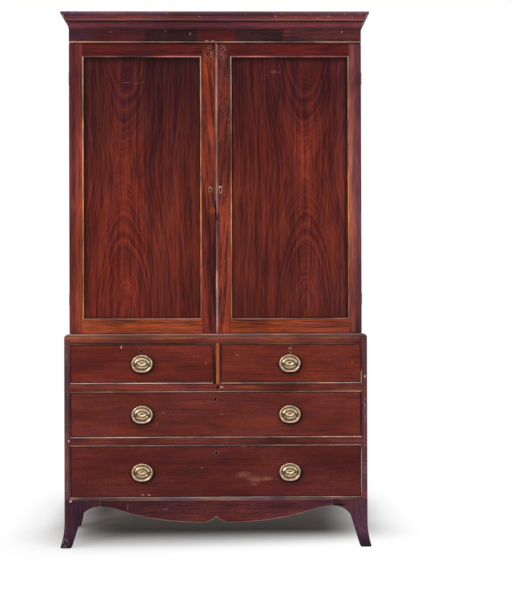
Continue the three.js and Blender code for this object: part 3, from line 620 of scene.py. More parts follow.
def add_box(work, x, y, z):
    """A box between two limits in each direction."""
    corners = [work.verts.new((a, b, c)) for c in z for b in y for a in x]
    for loop in ((0, 2, 3, 1), (4, 5, 7, 6), (0, 1, 5, 4), (2, 6, 7, 3), (0, 4, 6, 2), (1, 3, 7, 5)):
        work.faces.new([corners[i] for i in loop])


def add_prism(work, outline, place, near, far, material=0):
    """A prism over an outline of (a, b) points. place turns (a, b, depth) into a point."""
    first = [work.verts.new(place(a, b, near)) for a, b in outline]
    last = [work.verts.new(place(a, b, far)) for a, b in outline]
    faces = [work.faces.new(first), work.faces.new(last[::-1])]
    count = len(outline)
    for i in range(count):
        k = (i + 1) % count
        faces.append(work.faces.new([first[i], last[i], last[k], first[k]]))
    for face in faces:
        face.material_index = material


def add_rings(work, rings, closed_path=False, materials=None):
    """Joins rings of points into a shell, round a loop or with two flat ends. Each span between two
    rings may have a material of its own."""
    made = [[work.verts.new(point) for point in ring] for ring in rings]
    spans = len(made) if closed_path else len(made) - 1
    size = len(made[0])
    finish = materials or [0] * spans
    for i in range(spans):
        here, there = made[i], made[(i + 1) % len(made)]
        for j in range(size):
            k = (j + 1) % size
            work.faces.new([here[j], here[k], there[k], there[j]]).material_index = finish[i]
    if not closed_path:
        work.faces.new(made[0][::-1]).material_index = finish[0]
        work.faces.new(made[-1]).material_index = finish[-1]


def mitred_rings(path, section, place, is_loop):
    """Rings of a section swept round corners. The section's first number is the distance to the right
    of the path's travel and its second the height. place turns (a, b, height) into a point."""
    rings = []
    count = len(path)
    for i, corner in enumerate(path):
        corner = Vector(corner)
        before = Vector(path[i - 1]) if is_loop or i else None
        after = Vector(path[(i + 1) % count]) if is_loop or i < count - 1 else None
        into = (corner - before).normalized() if before is not None else (after - corner).normalized()
        out = (after - corner).normalized() if after is not None else into
        right_in = Vector((into.y, -into.x))
        right_out = Vector((out.y, -out.x))
        mitre = (right_in + right_out) / (1 + right_in.dot(right_out))
        rings.append([
            place(corner.x + mitre.x * distance, corner.y + mitre.y * distance, height)
            for distance, height in section
        ])
    return rings


def smooth_run(points, steps):
    """A smooth line through points, as a list of pairs."""
    result = []
    for i in range(len(points) - 1):
        p0 = Vector(points[max(i - 1, 0)])
        p1, p2 = Vector(points[i]), Vector(points[i + 1])
        p3 = Vector(points[min(i + 2, len(points) - 1)])
        for step in range(steps):
            t = step / steps
            point = 0.5 * (2 * p1 + (p2 - p0) * t + (2 * p0 - 5 * p1 + 4 * p2 - p3) * t * t
                           + (3 * p1 - p0 - 3 * p2 + p3) * t ** 3)
            result.append((point.x, point.y))
    result.append(tuple(points[-1]))
    return result


def profile(runs, steps=5):
    """Joins runs of points into one outline. A run of two points is straight, a longer one smooth."""
    outline = []
    for run in runs:
        line = smooth_run(run, steps) if len(run) > 2 else [tuple(p) for p in run]
        if outline and (Vector(outline[-1]) - Vector(line[0])).length < 1e-9:
            line = line[1:]
        outline.extend(line)
    return outline


def rectangle(x, z):
    return [(x[0], z[0]), (x[0], z[1]), (x[1], z[1]), (x[1], z[0])]


def in_plan(a, b, height):
    return (a, b, height)


def in_front(a, b, depth):
    return (a, depth, b)


def from_the_side(a, b, depth):
    return (depth, a, b)


def facing_front(y):
    """Places a shape drawn on the front, its height towards the viewer."""
    def place(a, b, height):
        return (a, y - height, b)
    return place


def half_round(width, proud, root, steps=8):
    """A bead's section from its outer edge over the round to its inner edge, closed at the root."""
    points = [(0.0, -root)]
    for i in range(steps + 1):
        angle = math.pi * (1 - i / steps)
        points.append((width * (1 + math.cos(angle)) / 2, proud * math.sin(angle) ** 0.8))
    points.append((width, -root))
    return points


def plain_mesh(obj):
    """The mesh that a piece's modifiers make."""
    bpy.context.view_layer.update()
    return bpy.data.meshes.new_from_object(obj.evaluated_get(bpy.context.evaluated_depsgraph_get()))


def box_mesh(x, y, z):
    work = bmesh.new()
    add_box(work, x, y, z)
    return from_bmesh("box", work)


def carved(name, x, y, z, cutters):
    """A block with boxes or prisms taken out of it, as a clean mesh."""
    whole = scene_object(name, box_mesh(x, y, z))
    tools = [scene_object("cutter", cutter) for cutter in cutters]
    for tool in tools:
        cut = whole.modifiers.new("cut", "BOOLEAN")
        cut.operation = "DIFFERENCE"
        cut.solver = "EXACT"
        cut.object = tool
    result = plain_mesh(whole)
    for obj in [whole, *tools]:
        bpy.data.objects.remove(obj)
    return result


def appended(target, mesh, material):
    """Adds a mesh to a bmesh under one material."""
    start = len(target.faces)
    target.from_mesh(mesh)
    target.faces.ensure_lookup_table()
    for face in target.faces[start:]:
        face.material_index = material
    bpy.data.meshes.remove(mesh)


# Keyholes


def keyhole_outline(name, steps=20):
    """A round hole with a slot below it, as (x, z) points."""
    x, z, radius, slot_width, slot_length = (value * MM for value in KEYHOLES[name])
    start = math.asin(slot_width / 2 / radius)
    points = []
    for i in range(steps + 1):
        angle = -math.pi / 2 + start + (2 * math.pi - 2 * start) * i / steps
        points.append((x + radius * math.cos(angle), z + radius * math.sin(angle)))
    low = z - radius - slot_length
    points.append((x - slot_width / 2, low))
    points.append((x + slot_width / 2, low))
    return points


def keyhole_cutter(name, face_y):
    work = bmesh.new()
    add_prism(work, keyhole_outline(name), in_front, face_y - CUTTER_OVERRUN, face_y + KEYHOLE_DEPTH)
    return from_bmesh("prism", work)


def keyhole_black(name):
    """The mark of painted shade that blackens the walls of a keyhole."""
    x, z, radius, _, length = KEYHOLES[name]
    half_x, half_z = radius * KEYHOLE_BLACK_SHARE, (radius + length / 2) * KEYHOLE_BLACK_SHARE
    return x, z - length / 2, half_x, half_z, BLACK, 1.0, 0.0


# Finishes of the case


def carcass_wood(name, mean, along, **changes):
    values = {"contrast": 0.7, "depth": 0.45, "warm": 0.1, "mottle": 0.35, "hue": 0.16, "flecks": 0.16,
              "roughness": 0.36, "level": 0.08}
    return veneer(name, mean, along, **{**values, **changes})


PAST_EDGE = bare("y", FRONT + 2, FRONT + 4)


def edged_wood(name, mean, **changes):
    """A board inside the case whose front edge alone is veneered."""
    return veneer(name, mean, "across", washes=[PAST_EDGE], flecks=0.16, **changes)


def inner_face(side_board):
    """The inside of a case side is plain timber."""
    inner = side_board[0].x / MM
    return bare("out", inner + 0.6, inner + 0.2)


# The front edge of each side is purplish: a painted sheen. Further back the sides are plain brown.
SIDE_TONES_WITH_SHEEN = layered(
    "y", (FRONT, (92, 52, 58)), (FRONT + 5, (92, 52, 58)), (FRONT + 18, (96, 46, 38)), (BACK, (92, 44, 37)),
)
EDGE_WEAR = [
    *((side * 584, z, 9, tall, (158, 128, 130), 0.45, 0.5, 6) for side, z, tall in (
        (-1, 740, 30), (-1, 440, 26), (-1, 230, 40), (1, 560, 34), (1, 520, 60), (1, 300, 50),
    )),
    (585, 668, 4, 6, (186, 160, 150), 0.75, 0.7),
    (-576, 418, 5, 5, (190, 166, 156), 0.8, 0.7),
]
UPPER_SIDE_WOOD = carcass_wood("upper_side_veneer", SIDE_TONES_WITH_SHEEN, "up", washes=[inner_face(UPPER_SIDE)])
LOWER_SIDE_WOOD = carcass_wood(
    "lower_side_veneer", SIDE_TONES_WITH_SHEEN, "up", washes=[inner_face(LOWER_SIDE)], marks=EDGE_WEAR,
)
CASE_BOARD = carcass_wood("case_board", (96, 60, 48), "across")

# Bands of colour by height that follow the cornice's faces: the bead's crest is pale, a painted highlight,
# the hollow under it dark, painted shade, and the top purplish, a painted sheen
CORNICE_LIT_AND_SHADED_BANDS = banded(
    "z", (2036, 2041, (66, 28, 33)), (2044, 2060, (91, 40, 46)), (2063, 2066, (46, 22, 26)),
    (2068, 2071, (103, 70, 72)), (2073, 2081, (120, 54, 54)), (2084, 2086, (74, 40, 48)),
    (2088, 2100, (92, 60, 70)),
)
CORNICE_LOOK = {"mottle": 0.25, "washes": [("z", 2099.4, 2099.8, (96, 64, 50), 0.7, "MIX")]}
CORNICE_SPECKS = [(x, z, half, 2, (168, 132, 128), 0.6, 1.0) for x, z, half in (
    (238, 2084, 5), (262, 2092, 3), (318, 2079, 6), (372, 2090, 4), (446, 2083, 5), (509, 2091, 4),
    (-420, 2090, 3), (-190, 2091, 4), (-60, 2083, 4), (120, 2091, 3), (540, 2080, 4), (571, 2089, 5),
    (-560, 2092, 4), (404, 2074, 4), (-318, 2074, 3),
)]
CORNICE_WOODS = [
    carcass_wood("cornice_veneer_across", CORNICE_LIT_AND_SHADED_BANDS, "across", marks=CORNICE_SPECKS, **CORNICE_LOOK),
    carcass_wood("cornice_veneer_inward", CORNICE_LIT_AND_SHADED_BANDS, "inward", **CORNICE_LOOK),
]

FRIEZE_TONES = banded(
    "x", (-575, -520, (58, 20, 30)), (-440, -278, (68, 20, 22)), (-275, -240, (40, 15, 16)),
    (-200, -73, (36, 14, 15)), (-70, 60, (62, 17, 19)), (92, 266, (42, 17, 18)), (270, 294, (82, 30, 30)),
    (298, 575, (66, 29, 29)),
)
FRIEZE_WOOD = carcass_wood(
    "frieze_veneer", FRIEZE_TONES, "across", depth=0.55, contrast=0.9, line=4, flecks=0.06,
    marks=[
        (-98, 2018, 3.4, 4, BARE_WOOD, 0.6, 1.0),
        (-196, 2028, 5, 3, SCUFF, 0.3, 1.2),
        (-33, 1989, 7, 3, BARE_WOOD, 0.9, 0.8),
        (-9, 1989, 6, 3, BARE_WOOD, 0.8, 0.8),
        (500, 2025, 3, 6, BARE_WOOD, 0.55),
        (-411, 2024, 3, 4, BARE_WOOD, 0.24),
    ],
)

# Bands of colour by height: the top band, which faces up, is pale, a painted highlight; the pale band at the
# foot is a worn edge
WAIST_BANDS_WITH_HIGHLIGHT = banded(
    "z", (816, 820, (121, 63, 51)), (822, 831, (94, 55, 42)), (834, 837, (148, 108, 102)),
)
WAIST_WOODS = [
    veneer(f"waist_veneer_{along}", WAIST_BANDS_WITH_HIGHLIGHT, along, depth=0.5, contrast=0.9, mottle=0.35)
    for along in ("across", "inward")
]

# The fronts of the feet are purplish: a painted sheen. Their sides are washed to plain brown.
FOOT_TONES_WITH_SHEEN = layered(
    "x", (-594, (68, 35, 50)), (-520, (62, 30, 44)), (-457, (57, 23, 31)), (457, (83, 38, 45)),
    (520, (74, 38, 49)), (594, (67, 40, 55)),
)
FOOT_WOOD = carcass_wood(
    "foot_veneer", FOOT_TONES_WITH_SHEEN, "up", contrast=0.8, depth=0.5, flecks=0.2,
    washes=[("z", 70, 10, (30, 19, 27), 0.85, "MIX"), ("y", FRONT + 1, FRONT + 8, (66, 30, 28), 1.0, "MIX")],
    marks=[
        (-592, 20, 20, 24, (160, 148, 150), 0.42, 0.4, 6),
        (-594, 64, 14, 34, (120, 96, 108), 0.35, 0.4, 7),
        (484, 172, 46, 16, (30, 18, 24), 0.5, 0.5, None, 0.9),
        (488, 165, 22, 5, (12, 8, 10), 0.95, 0.6),
        # A near-white spot at the top of the left front foot: a painted highlight
        (-570, 182, 6, 3, (214, 196, 196), 0.95, 0.3),
    ],
)
APRON_TONES = layered(
    "x", (-460, (57, 23, 31)), (-200, (64, 27, 28)), (60, (73, 29, 29)), (460, (83, 38, 45)),
)
APRON_WOODS = [
    carcass_wood("apron_veneer", APRON_TONES, "across", depth=0.55, contrast=0.9, marks=[
        (-347, 158, 3, 14, (120, 90, 86), 0.4, 1.0),
        (-200, 150, 14, 4, (116, 78, 70), 0.5, 1.2),
    ]),
    # The rounded edges take this paler finish: worn edges with a painted highlight
    carcass_wood("apron_edge_veneer", (140, 108, 104), "across", depth=0.6, mottle=0.5),
]
SIDE_APRON = carcass_wood("side_apron_veneer", (80, 38, 34), "inward")

TOP_EDGE = edged_wood("top_edge_veneer", (95, 43, 33), depth=0.5, mottle=0.4)
CHIP_X, CHIP_Z = 15.7, 626
UPPER_RAIL = edged_wood("upper_rail_veneer", (94, 39, 33), depth=0.55, mottle=0.4, marks=[
    (118, 628, 76, 7, (150, 80, 46), 0.55, 0.4, None, 0.8),
    (CHIP_X - 8, CHIP_Z, 8, 8, BLACK, 1.0, 0.7),
    (CHIP_X + 6, CHIP_Z + 1, 8, 5, BARE_WOOD, 0.9, 1.0),
    (CHIP_X + 8, CHIP_Z - 6, 9, 3, BLACK, 0.8, 0.8),
])
LOWER_RAIL = edged_wood("lower_rail_veneer", (85, 36, 33), depth=0.55, mottle=0.4, move=(0.7, 0.2, 0.4))
DIVIDER = veneer(
    "divider_veneer", (160, 80, 49), "up", depth=0.45,
    washes=[("x", 1.5, 0.5, (150, 136, 136)), ("x", 12, 13.5, (120, 104, 104)), PAST_EDGE],
    # The left part of the divider's edge is darkened: painted shade in the gap beside the left drawer
    marks=[(-10, 640, 11.5, 140, DIRT_AND_SHADE, 0.85, 0.1, None, 0.3)],
)

# Finishes of the beads

BEAD_LINE = {"depth": 0.55, "contrast": 1.0, "mottle": 0.6, "line": 9, "level": 0.1}
# The bottom beads of the drawers take the pale copy, a painted highlight, and the top beads of the top
# drawers the dark copy, painted shade
BEAD_HIGHLIGHT = veneer("bead_painted_highlight", (168, 134, 122), "across", **BEAD_LINE)
BEAD_ACROSS = veneer("bead_across", (132, 98, 86), "across", **BEAD_LINE)
BEAD_SHADE = veneer("bead_painted_shade", (84, 54, 46), "across", **BEAD_LINE)
BEAD_UP = veneer("bead_up", (88, 50, 46), "up", **BEAD_LINE, marks=[
    (571, 297, 4, 106, (172, 138, 136), 0.75, 0.3),
    (571, 664, 4, 30, (172, 138, 136), 0.7, 0.3),
])
BASE_LIP = edged_wood("base_lip", (112, 76, 74), **BEAD_LINE)
PANEL_BEAD_ACROSS = veneer(
    "panel_bead_across", layered("z", (893, (112, 73, 66)), (1931, (118, 70, 68))), "across", **BEAD_LINE,
)
PANEL_BEAD_UP = veneer("panel_bead_up", layered(
    "z", (893, (141, 88, 52)), (1350, (168, 104, 57)), (1600, (138, 100, 78)), (1931, (140, 112, 98)),
), "up", **BEAD_LINE)
MEETING_WOOD = veneer("meeting_bead_wood", layered(
    "z", (839, (150, 110, 104)), (1070, (144, 106, 102)), (1090, (110, 76, 76)), (1300, (90, 60, 60)),
    (1370, (136, 104, 98)), (1978, (134, 100, 96)),
), "up", depth=0.5, contrast=1.0, mottle=0.45, line=9, marks=[
    (2.5, 1330, 3, 26, (180, 160, 150), 0.9, 0.6),
    (5, 1290, 4, 12, DIRT_AND_SHADE, 0.9, 0.6),
])

# Finishes of the doors

RAIL_FIGURE = {"contrast": 1.15, "depth": 0.62, "mottle": 0.4, "line": 4}
MEETING_FIGURE = {"band": 14, "line": 5, "contrast": 1.15, "depth": 0.68, "warm": 0.4}


def door_wood(name, along, mean, **changes):
    values = {"contrast": 0.9, "depth": 0.5, "mottle": 0.3, "band": 22, "line": 6}
    return veneer(name, mean, along, **{**values, **changes})


def hinge_washes(side):
    """The cool sheen on the outer stiles, and the shade below the cornice."""
    edge = side * UPPER_HALF / MM
    return [
        ("x", edge - side * 33, edge - side * 18, OUTER_SHEEN, 0.8),
        ("z", 1500, 1900, UPPER_SHADE, 0.9),
    ]


FRAME_WOODS = {
    -1: [
        door_wood("left_hinge_stile_veneer", "up", layered(
            "z", (839, (122, 50, 35)), (1200, (115, 47, 33)), (1978, (116, 45, 37)),
        ), washes=hinge_washes(-1)),
        door_wood("left_meeting_stile_veneer", "up", layered(
            "z", (839, (86, 28, 23)), (1150, (86, 28, 23)), (1400, (112, 43, 31)), (1900, (110, 39, 26)),
            (1978, (76, 26, 21)),
        ), move=(0.7, 0.3, 0.2), tilt=0.09, flecks=0.1, **MEETING_FIGURE, marks=[
            keyhole_black("left_door"),
            # Darker strips beside the meeting bead: painted shade in the gap between the doors
            (-4, 1070, 7, 240, DIRT_AND_SHADE, 0.85, 0.25),
            (-21, 1070, 13, 250, (52, 17, 18), 0.55, 0.5),
            (-32, 1948, 30, 34, DIRT_AND_SHADE, 0.85, 0.5, 9),
            (-24, 1940, 26, 40, (160, 104, 88), 0.8, 0.5, 6),
            (-12, 1322, 12, 16, (128, 50, 34), 0.8, 0.8),
        ]),
        door_wood("left_top_rail_veneer", "across", (70, 20, 20)),
        door_wood("left_bottom_rail_veneer", "across", (123, 54, 32), **RAIL_FIGURE),
    ],
    1: [
        door_wood("right_hinge_stile_veneer", "up", layered(
            "z", (839, (104, 50, 42)), (1050, (110, 54, 47)), (1400, (141, 76, 65)), (1978, (152, 76, 66)),
        ), move=(1.3, 0.1, 0.6), washes=hinge_washes(1)),
        door_wood("right_meeting_stile_veneer", "up", layered(
            "z", (839, (120, 46, 31)), (1280, (116, 44, 32)), (1340, (94, 35, 28)), (1800, (76, 27, 25)),
            (1978, (72, 26, 25)),
        ), move=(2.1, 0.5, 0.9), tilt=-0.08, flecks=0.16, **MEETING_FIGURE, marks=[
            keyhole_black("right_door"),
            (14, 1090, 8, 220, (48, 16, 18), 0.45, 0.5),
            (30, 900, 14, 46, (52, 18, 18), 0.6, 0.9, 9),
            (22, 1326, 16, 20, (128, 50, 34), 0.8, 0.9),
            (30, 1944, 24, 40, (150, 100, 92), 0.7, 0.5, 6),
        ]),
        door_wood("right_top_rail_veneer", "across", (74, 21, 21), move=(0.4, 0.2, 0.3)),
        door_wood("right_bottom_rail_veneer", "across", (113, 47, 29), move=(0.9, 0.6, 0.2), **RAIL_FIGURE),
    ],
}

FIGURE_OUT = 355 * MM
FIGURE_ASIDE = 0.13
FIGURE_SHAPE = {"centre_height": 1.50, "pith_depth": 0.15, "crook": 0.27, "ring": 7 * MM, "sway": 0.04}
PANEL_TONES = {
    -1: layered(
        "z", (892, (87, 29, 23)), (1300, (93, 31, 24)), (1420, (90, 30, 24)), (1560, (76, 25, 21)),
        (1740, (63, 20, 20)), (1880, (58, 18, 19)), (1931, (54, 17, 18)),
    ),
    1: layered(
        "z", (892, (79, 29, 25)), (1200, (84, 30, 25)), (1400, (88, 31, 25)), (1500, (85, 29, 25)),
        (1605, (80, 26, 23)), (1710, (72, 23, 22)), (1812, (67, 22, 22)), (1931, (64, 21, 22)),
    ),
}

# Tints across each panel, and broad lighter and darker areas, as multipliers of the colour. The bluish tint
# at the right panel's outer edge is a painted sheen.
PANEL_WASHES = {
    -1: [("x", -430, -390, (1.22, 1.2, 1.14, 1.0)), ("x", -305, -255, (0.68, 0.78, 0.88, 1.0))],
    1: [("x", 190, 150, (0.88, 0.92, 0.95, 1.0)), ("x", 450, 520, (1.06, 1.24, 1.5, 1.0))],
}
PANEL_CLOUDS = {
    -1: [
        (-455, 1614, 90, 110, (0.76, 0.86, 0.9, 1.0)), (-232, 1240, 90, 120, (1.34, 1.42, 1.24, 1.0)),
        (-232, 1715, 80, 90, (0.76, 0.86, 0.9, 1.0)),
    ],
    1: [
        (350, 1600, 110, 220, (1.75, 1.9, 1.55, 1.0)), (232, 1265, 100, 130, (1.42, 1.44, 1.3, 1.0)),
        (232, 1715, 90, 140, (0.7, 0.86, 0.9, 1.0)), (480, 1600, 90, 260, (1.22, 1.34, 1.3, 1.0)),
        (490, 1900, 80, 80, (1.4, 1.36, 1.44, 1.0)), (350, 985, 90, 100, (1.34, 1.32, 1.26, 1.0)),
        (480, 1000, 80, 110, (1.26, 1.4, 1.4, 1.0)),
    ],
}
SCRATCH = (132, 84, 76)
PANEL_SCRATCHES = {
    -1: [(x, z, half, 1.4, SCRATCH, 0.45, 0.9) for x, z, half in (
        (-352, 1826, 18), (-310, 1824, 14), (-284, 1828, 8),
    )],
    1: [(236, 1868, 30, 7, SCRATCH, 0.7, 0.6, 5), (214, 1856, 22, 8, (124, 76, 68), 0.5, 0.6, 5)],
}


def panel_veneer(side):
    """Both panels are cut from one flitch and opened like a book, so the figure mirrors."""
    def figured(tree, place, fine):
        x, y, z = tree.split(place)
        out = tree.math("MULTIPLY_ADD", x, float(side), -FIGURE_OUT)
        figure = tree.group(FIGURE, vector=tree.join(out, y + FIGURE_ASIDE * side, z), **FIGURE_SHAPE)
        narrow = (figure["Tone"] - 0.5) * 1.8
        broad = (figure["Broad"] - 0.5) * 0.9
        return tree.clamped(narrow + broad + fine)

    x, z = OPENINGS[side], OPENING_RISE
    corner = (x[0] + PANEL_BEAD, -1.0, z[0] + PANEL_BEAD)
    far_corner = (x[1] - PANEL_BEAD, 1.0, z[1] - PANEL_BEAD)
    outer = side * max(map(abs, x)) / MM
    top = far_corner[2] / MM
    washes = [
        *PANEL_WASHES[side],
        # The outer edge and the top of each panel are darkened: painted shade cast by the frame, with dirt
        ("x", outer - side * 30, outer - side * 4, (140, 130, 130), 0.8),
        ("z", top - 30, top, (150, 140, 140), 0.8),
    ]
    clouds = [(*row, 0.8, 0.1, None, 1.1, "MULTIPLY") for row in PANEL_CLOUDS[side]]
    return veneer(
        f"{SIDES[side]}_panel_veneer", PANEL_TONES[side], "up", band=18, line=4, contrast=1.1, depth=0.52,
        warm=0.5, mottle=0.16, figure=figured, roughness=0.33, move=ORIGIN if side < 0 else (0.0, 0.4, 0.1),
        washes=washes, wax_and_shade_edges=(corner, far_corner), marks=[*clouds, *PANEL_SCRATCHES[side]],
    )


PANEL_WOODS = {side: panel_veneer(side) for side in SIDES}

# Finishes of the drawers

# Painted shadow and old wax round a handle plate, set to the right and below where its shadow falls: how far
# aside, its reach in plates, strength and softness
HANDLE_SHADOW_AND_GRIME = ((2, 0.61, 0.9, 0.26), (8, 0.8, 0.55, 0.7))
HANDLE_SIDES = {"top_left": (-1,), "top_right": (1,), "middle": (-1, 1), "bottom": (-1, 1)}
SHADOW_DROP = 4


def handle_shadow_and_grime(name):
    """Marks of painted shadow cast by the handle plates, to the right and below, with the dark wax gathered
    round them.
    """
    level = HANDLE_LEVELS[name.split("_")[0]] / MM - SHADOW_DROP
    wide, tall = PLATE_WIDTH / MM, PLATE_HEIGHT / MM
    return [
        (side * HANDLE + aside, level, wide * reach, tall * reach, DIRT_AND_SHADE, strength, 0.15, None, softness)
        for side in HANDLE_SIDES[name] for aside, reach, strength, softness in HANDLE_SHADOW_AND_GRIME
    ]


def drawer_veneer(name, mean, move, marks):
    low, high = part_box(f"drawer_front_{name}")
    corner = (low.x + COCKBEAD, -1.0, low.z + COCKBEAD)
    far_corner = (high.x - COCKBEAD, 1.0, high.z - COCKBEAD)
    return veneer(
        f"drawer_veneer_{name}", mean, "across", band=30, line=3, wander=8, contrast=0.62, depth=0.42,
        warm=0.2, mottle=0.24, hue=0.16, flecks=0.13, move=move, wax_and_shade_edges=(corner, far_corner), roughness=0.4,
        marks=[*handle_shadow_and_grime(name), *marks, keyhole_black(name)],
    )


DRAWER_WOODS = {
    "top_left": drawer_veneer("top_left", (95, 34, 27), (0.1, 0.2, 0.4), [
        (-370.5, 784.5, 2.4, 7, (190, 150, 136), 0.9, 0.6),
        (-40, 722, 4, 5, SCUFF, 0.5, 1.0),
    ]),
    "top_right": drawer_veneer("top_right", (100, 37, 27), (1.1, 0.7, 0.9), [
        (84, 752, 9, 4, SCUFF, 0.5, 1.2),
        (536, 724, 4, 8, SCUFF, 0.5, 1.2),
    ]),
    "middle": drawer_veneer("middle", (91, 36, 30), (2.3, 0.4, 0.1), [
        (-206, 528, 6, 5, SCUFF, 0.5, 1.2),
        (21, 522, 10, 4, SCUFF, 0.4, 1.2),
        (-230, 486, 4, 5, SCUFF, 0.4, 1.0),
    ]),
    "bottom": drawer_veneer("bottom", (81, 30, 28), (3.7, 0.9, 0.6), [
        (108, 284, 38, 16, SCUFF, 0.5, 0.9, None, 0.8),
        (152, 266, 38, 17, SCUFF, 0.62, 0.9, None, 0.8),
        (200, 268, 26, 10, SCUFF, 0.66, 0.9, None, 0.7),
        (150, 246, 14, 7, SCUFF, 0.5, 0.9, None, 0.8),
        (140, 272, 60, 26, (84, 34, 30), 0.6, 0.6, 11),
        (-287, 206, 6, 3, BARE_WOOD, 0.9, 0.5),
        (-263, 206, 7, 3, BARE_WOOD, 0.9, 0.5),
        (-56, 312, 6, 4, SCUFF, 0.5, 1.2),
        (104, 396, 12, 3, SCUFF, 0.6, 1.2),
    ]),
}

# Plain timber and brass

PINE_LIGHT = (184, 142, 102)
PINE_DARK = (130, 88, 58)
PINE_STAIN = (104, 76, 52)
PINE_JOINT = (30, 20, 14)
PINE_GRAIN = {"band": 34 * MM, "line": 4 * MM, "wander": 20 * MM, "contrast": 0.6}
PINE_RELIEF = 0.5 * MM
PLANK_WIDTH = 191 * MM
PLANK_SHIFT = 5.0


def tinted(colour, tint):
    return (*(channel * tint for channel in shade(colour)[:3]), 1.0)


def pine(name, along, tint=1.0, planks=0.0):
    """Plain inside timber, a little dusty and browned with age. It may be in planks of one width."""
    made, tree, shader = blank_material(name)
    polish(shader, 0.25, 0.72)
    place = place_of(tree)
    turned = tree.mapped(place, turn=ALONG[along])
    grain = tree.group(GRAIN, vector=turned, **PINE_GRAIN)
    colour = tree.blend(grain["Tone"], tinted(PINE_DARK, tint), tinted(PINE_LIGHT, tint))
    stains = tree.noise(place, STAINS, 4.0, 0.6)
    colour = tree.blend(tree.spread(stains, 0.45, 0.75, 0.0, 0.4), colour, shade(PINE_STAIN))
    height = grain["Height"]
    if planks:
        step = tree.math("FRACT", (tree.split(place)[0] + PLANK_SHIFT) / planks)
        joint = tree.spread(tree.absolute(step - 0.5), 0.49, 0.497)
        colour = tree.blend(joint * 0.85, colour, shade(PINE_JOINT))
        height = height - joint * 4.0
    tree.put(colour, shader.inputs["Base Color"])
    tree.put(tree.spread(stains, 0.3, 0.7, 0.62, 0.82), shader.inputs["Roughness"])
    tree.put(tree.bump(height, 0.4, PINE_RELIEF), shader.inputs["Normal"])
    return made


PINE_PLANKS = pine("secondary_pine_planks", "up", 0.8, PLANK_WIDTH)
PINE_ACROSS = pine("secondary_pine_across", "across")
PINE_INWARD = pine("secondary_pine_inward", "inward", 1.05)

HOLLOW_REACH = 6 * MM
HOLLOW_AND_SHADE_BROWN = (66, 48, 29)
BRASS_RELIEF = 0.1 * MM


def brass(name, bright, dull, roughness):
    """Old brass: bright where it is rubbed, brown in its hollows and round its posts, and brown with painted
    shade where a plate's slopes face down.
    """
    made, tree, shader = blank_material(name)
    shader.inputs["Metallic"].default_value = 1.0
    place = place_of(tree)
    cloud = tree.noise(place, TARNISH, 4.0, 0.62)
    speck = tree.noise(place, TARNISH_SPECKS, 2.0, 0.6)
    tarnish = tree.spread(cloud * 0.8 + speck * 0.2, 0.42, 0.66)
    brass_wax_and_shade = tree.node("ShaderNodeAttribute", attribute_name="brass_wax_and_shade").outputs["Fac"]
    hollow = tree.node("ShaderNodeAmbientOcclusion", {"Distance": HOLLOW_REACH}, samples=6)
    corner = tree.math("MAXIMUM", tree.spread(hollow.outputs["AO"], 0.75, 0.2), brass_wax_and_shade)
    colour = tree.blend(tarnish, shade(bright), shade(dull))
    tree.put(tree.blend(corner * 0.94, colour, shade(HOLLOW_AND_SHADE_BROWN)), shader.inputs["Base Color"])
    tree.put(tree.spread(tarnish, 0.0, 1.0, roughness, roughness + 0.14), shader.inputs["Roughness"])
    tree.put(tree.bump(speck, 0.1, BRASS_RELIEF), shader.inputs["Normal"])
    return made


BRASS = brass("brass", (190, 167, 138), (148, 121, 90), 0.24)
BRASS_BAIL = brass("brass_bail", (196, 168, 150), (150, 120, 100), 0.26)
BRASS_OLD = brass("brass_old", (164, 134, 88), (112, 84, 52), 0.4)
BRASS_WORN = brass("brass_worn", (158, 144, 134), (112, 94, 82), 0.45)
BRASS_DARK = brass("brass_dark", (108, 74, 56), (70, 44, 34), 0.45)

# Base: apron and feet

TOE_STEPS = 6
LEG_STEPS = 16
ARCH_STEPS = 18
APRON_STEPS = 10


def flare_at(z):
    above = min(z / FLARE_HEIGHT, 1.0)
    return FOOT_FLARE * (1 - above) ** 2


def toe_inset(z):
    """How far the foot's outline draws in at its rounded lower corners."""
    if z >= TOE_ROUNDING:
        return 0.0
    return TOE_ROUNDING - math.sqrt(TOE_ROUNDING ** 2 - (TOE_ROUNDING - z) ** 2)


def arch(t, axis):
    """The arch between a foot and the apron, as a share of its width (0) or of its height (1)."""
    return 3 * (1 - t) ** 2 * t * ARCH_START[axis] + 3 * (1 - t) * t * t * ARCH_END[axis] + t ** 3


def foot_levels():
    """Heights up a foot: round the toe, up the leg, round the arch and to the top."""
    turn = math.radians(90)
    rows = [TOE_ROUNDING * (1 - math.cos(turn * i / TOE_STEPS)) for i in range(TOE_STEPS + 1)]
    leg = FOOT_WAIST_HEIGHT - TOE_ROUNDING
    rows += [TOE_ROUNDING + leg * i / LEG_STEPS for i in range(1, LEG_STEPS + 1)]
    tall = ARCH_HEIGHT - FOOT_WAIST_HEIGHT
    rows += [FOOT_WAIST_HEIGHT + tall * arch(i / ARCH_STEPS, 1) for i in range(1, ARCH_STEPS + 1)]
    return rows + [BASE_HEIGHT]


def wing_reach(row, z, toe, waist_width, wing):
    """How far a wing reaches in from the case's corner at one of the foot's levels."""
    if z <= FOOT_WAIST_HEIGHT:
        return toe + (waist_width - toe) * z / FOOT_WAIST_HEIGHT - toe_inset(z)
    t = min((row - TOE_STEPS - LEG_STEPS) / ARCH_STEPS, 1.0)
    return waist_width + (wing - waist_width) * arch(t, 0)


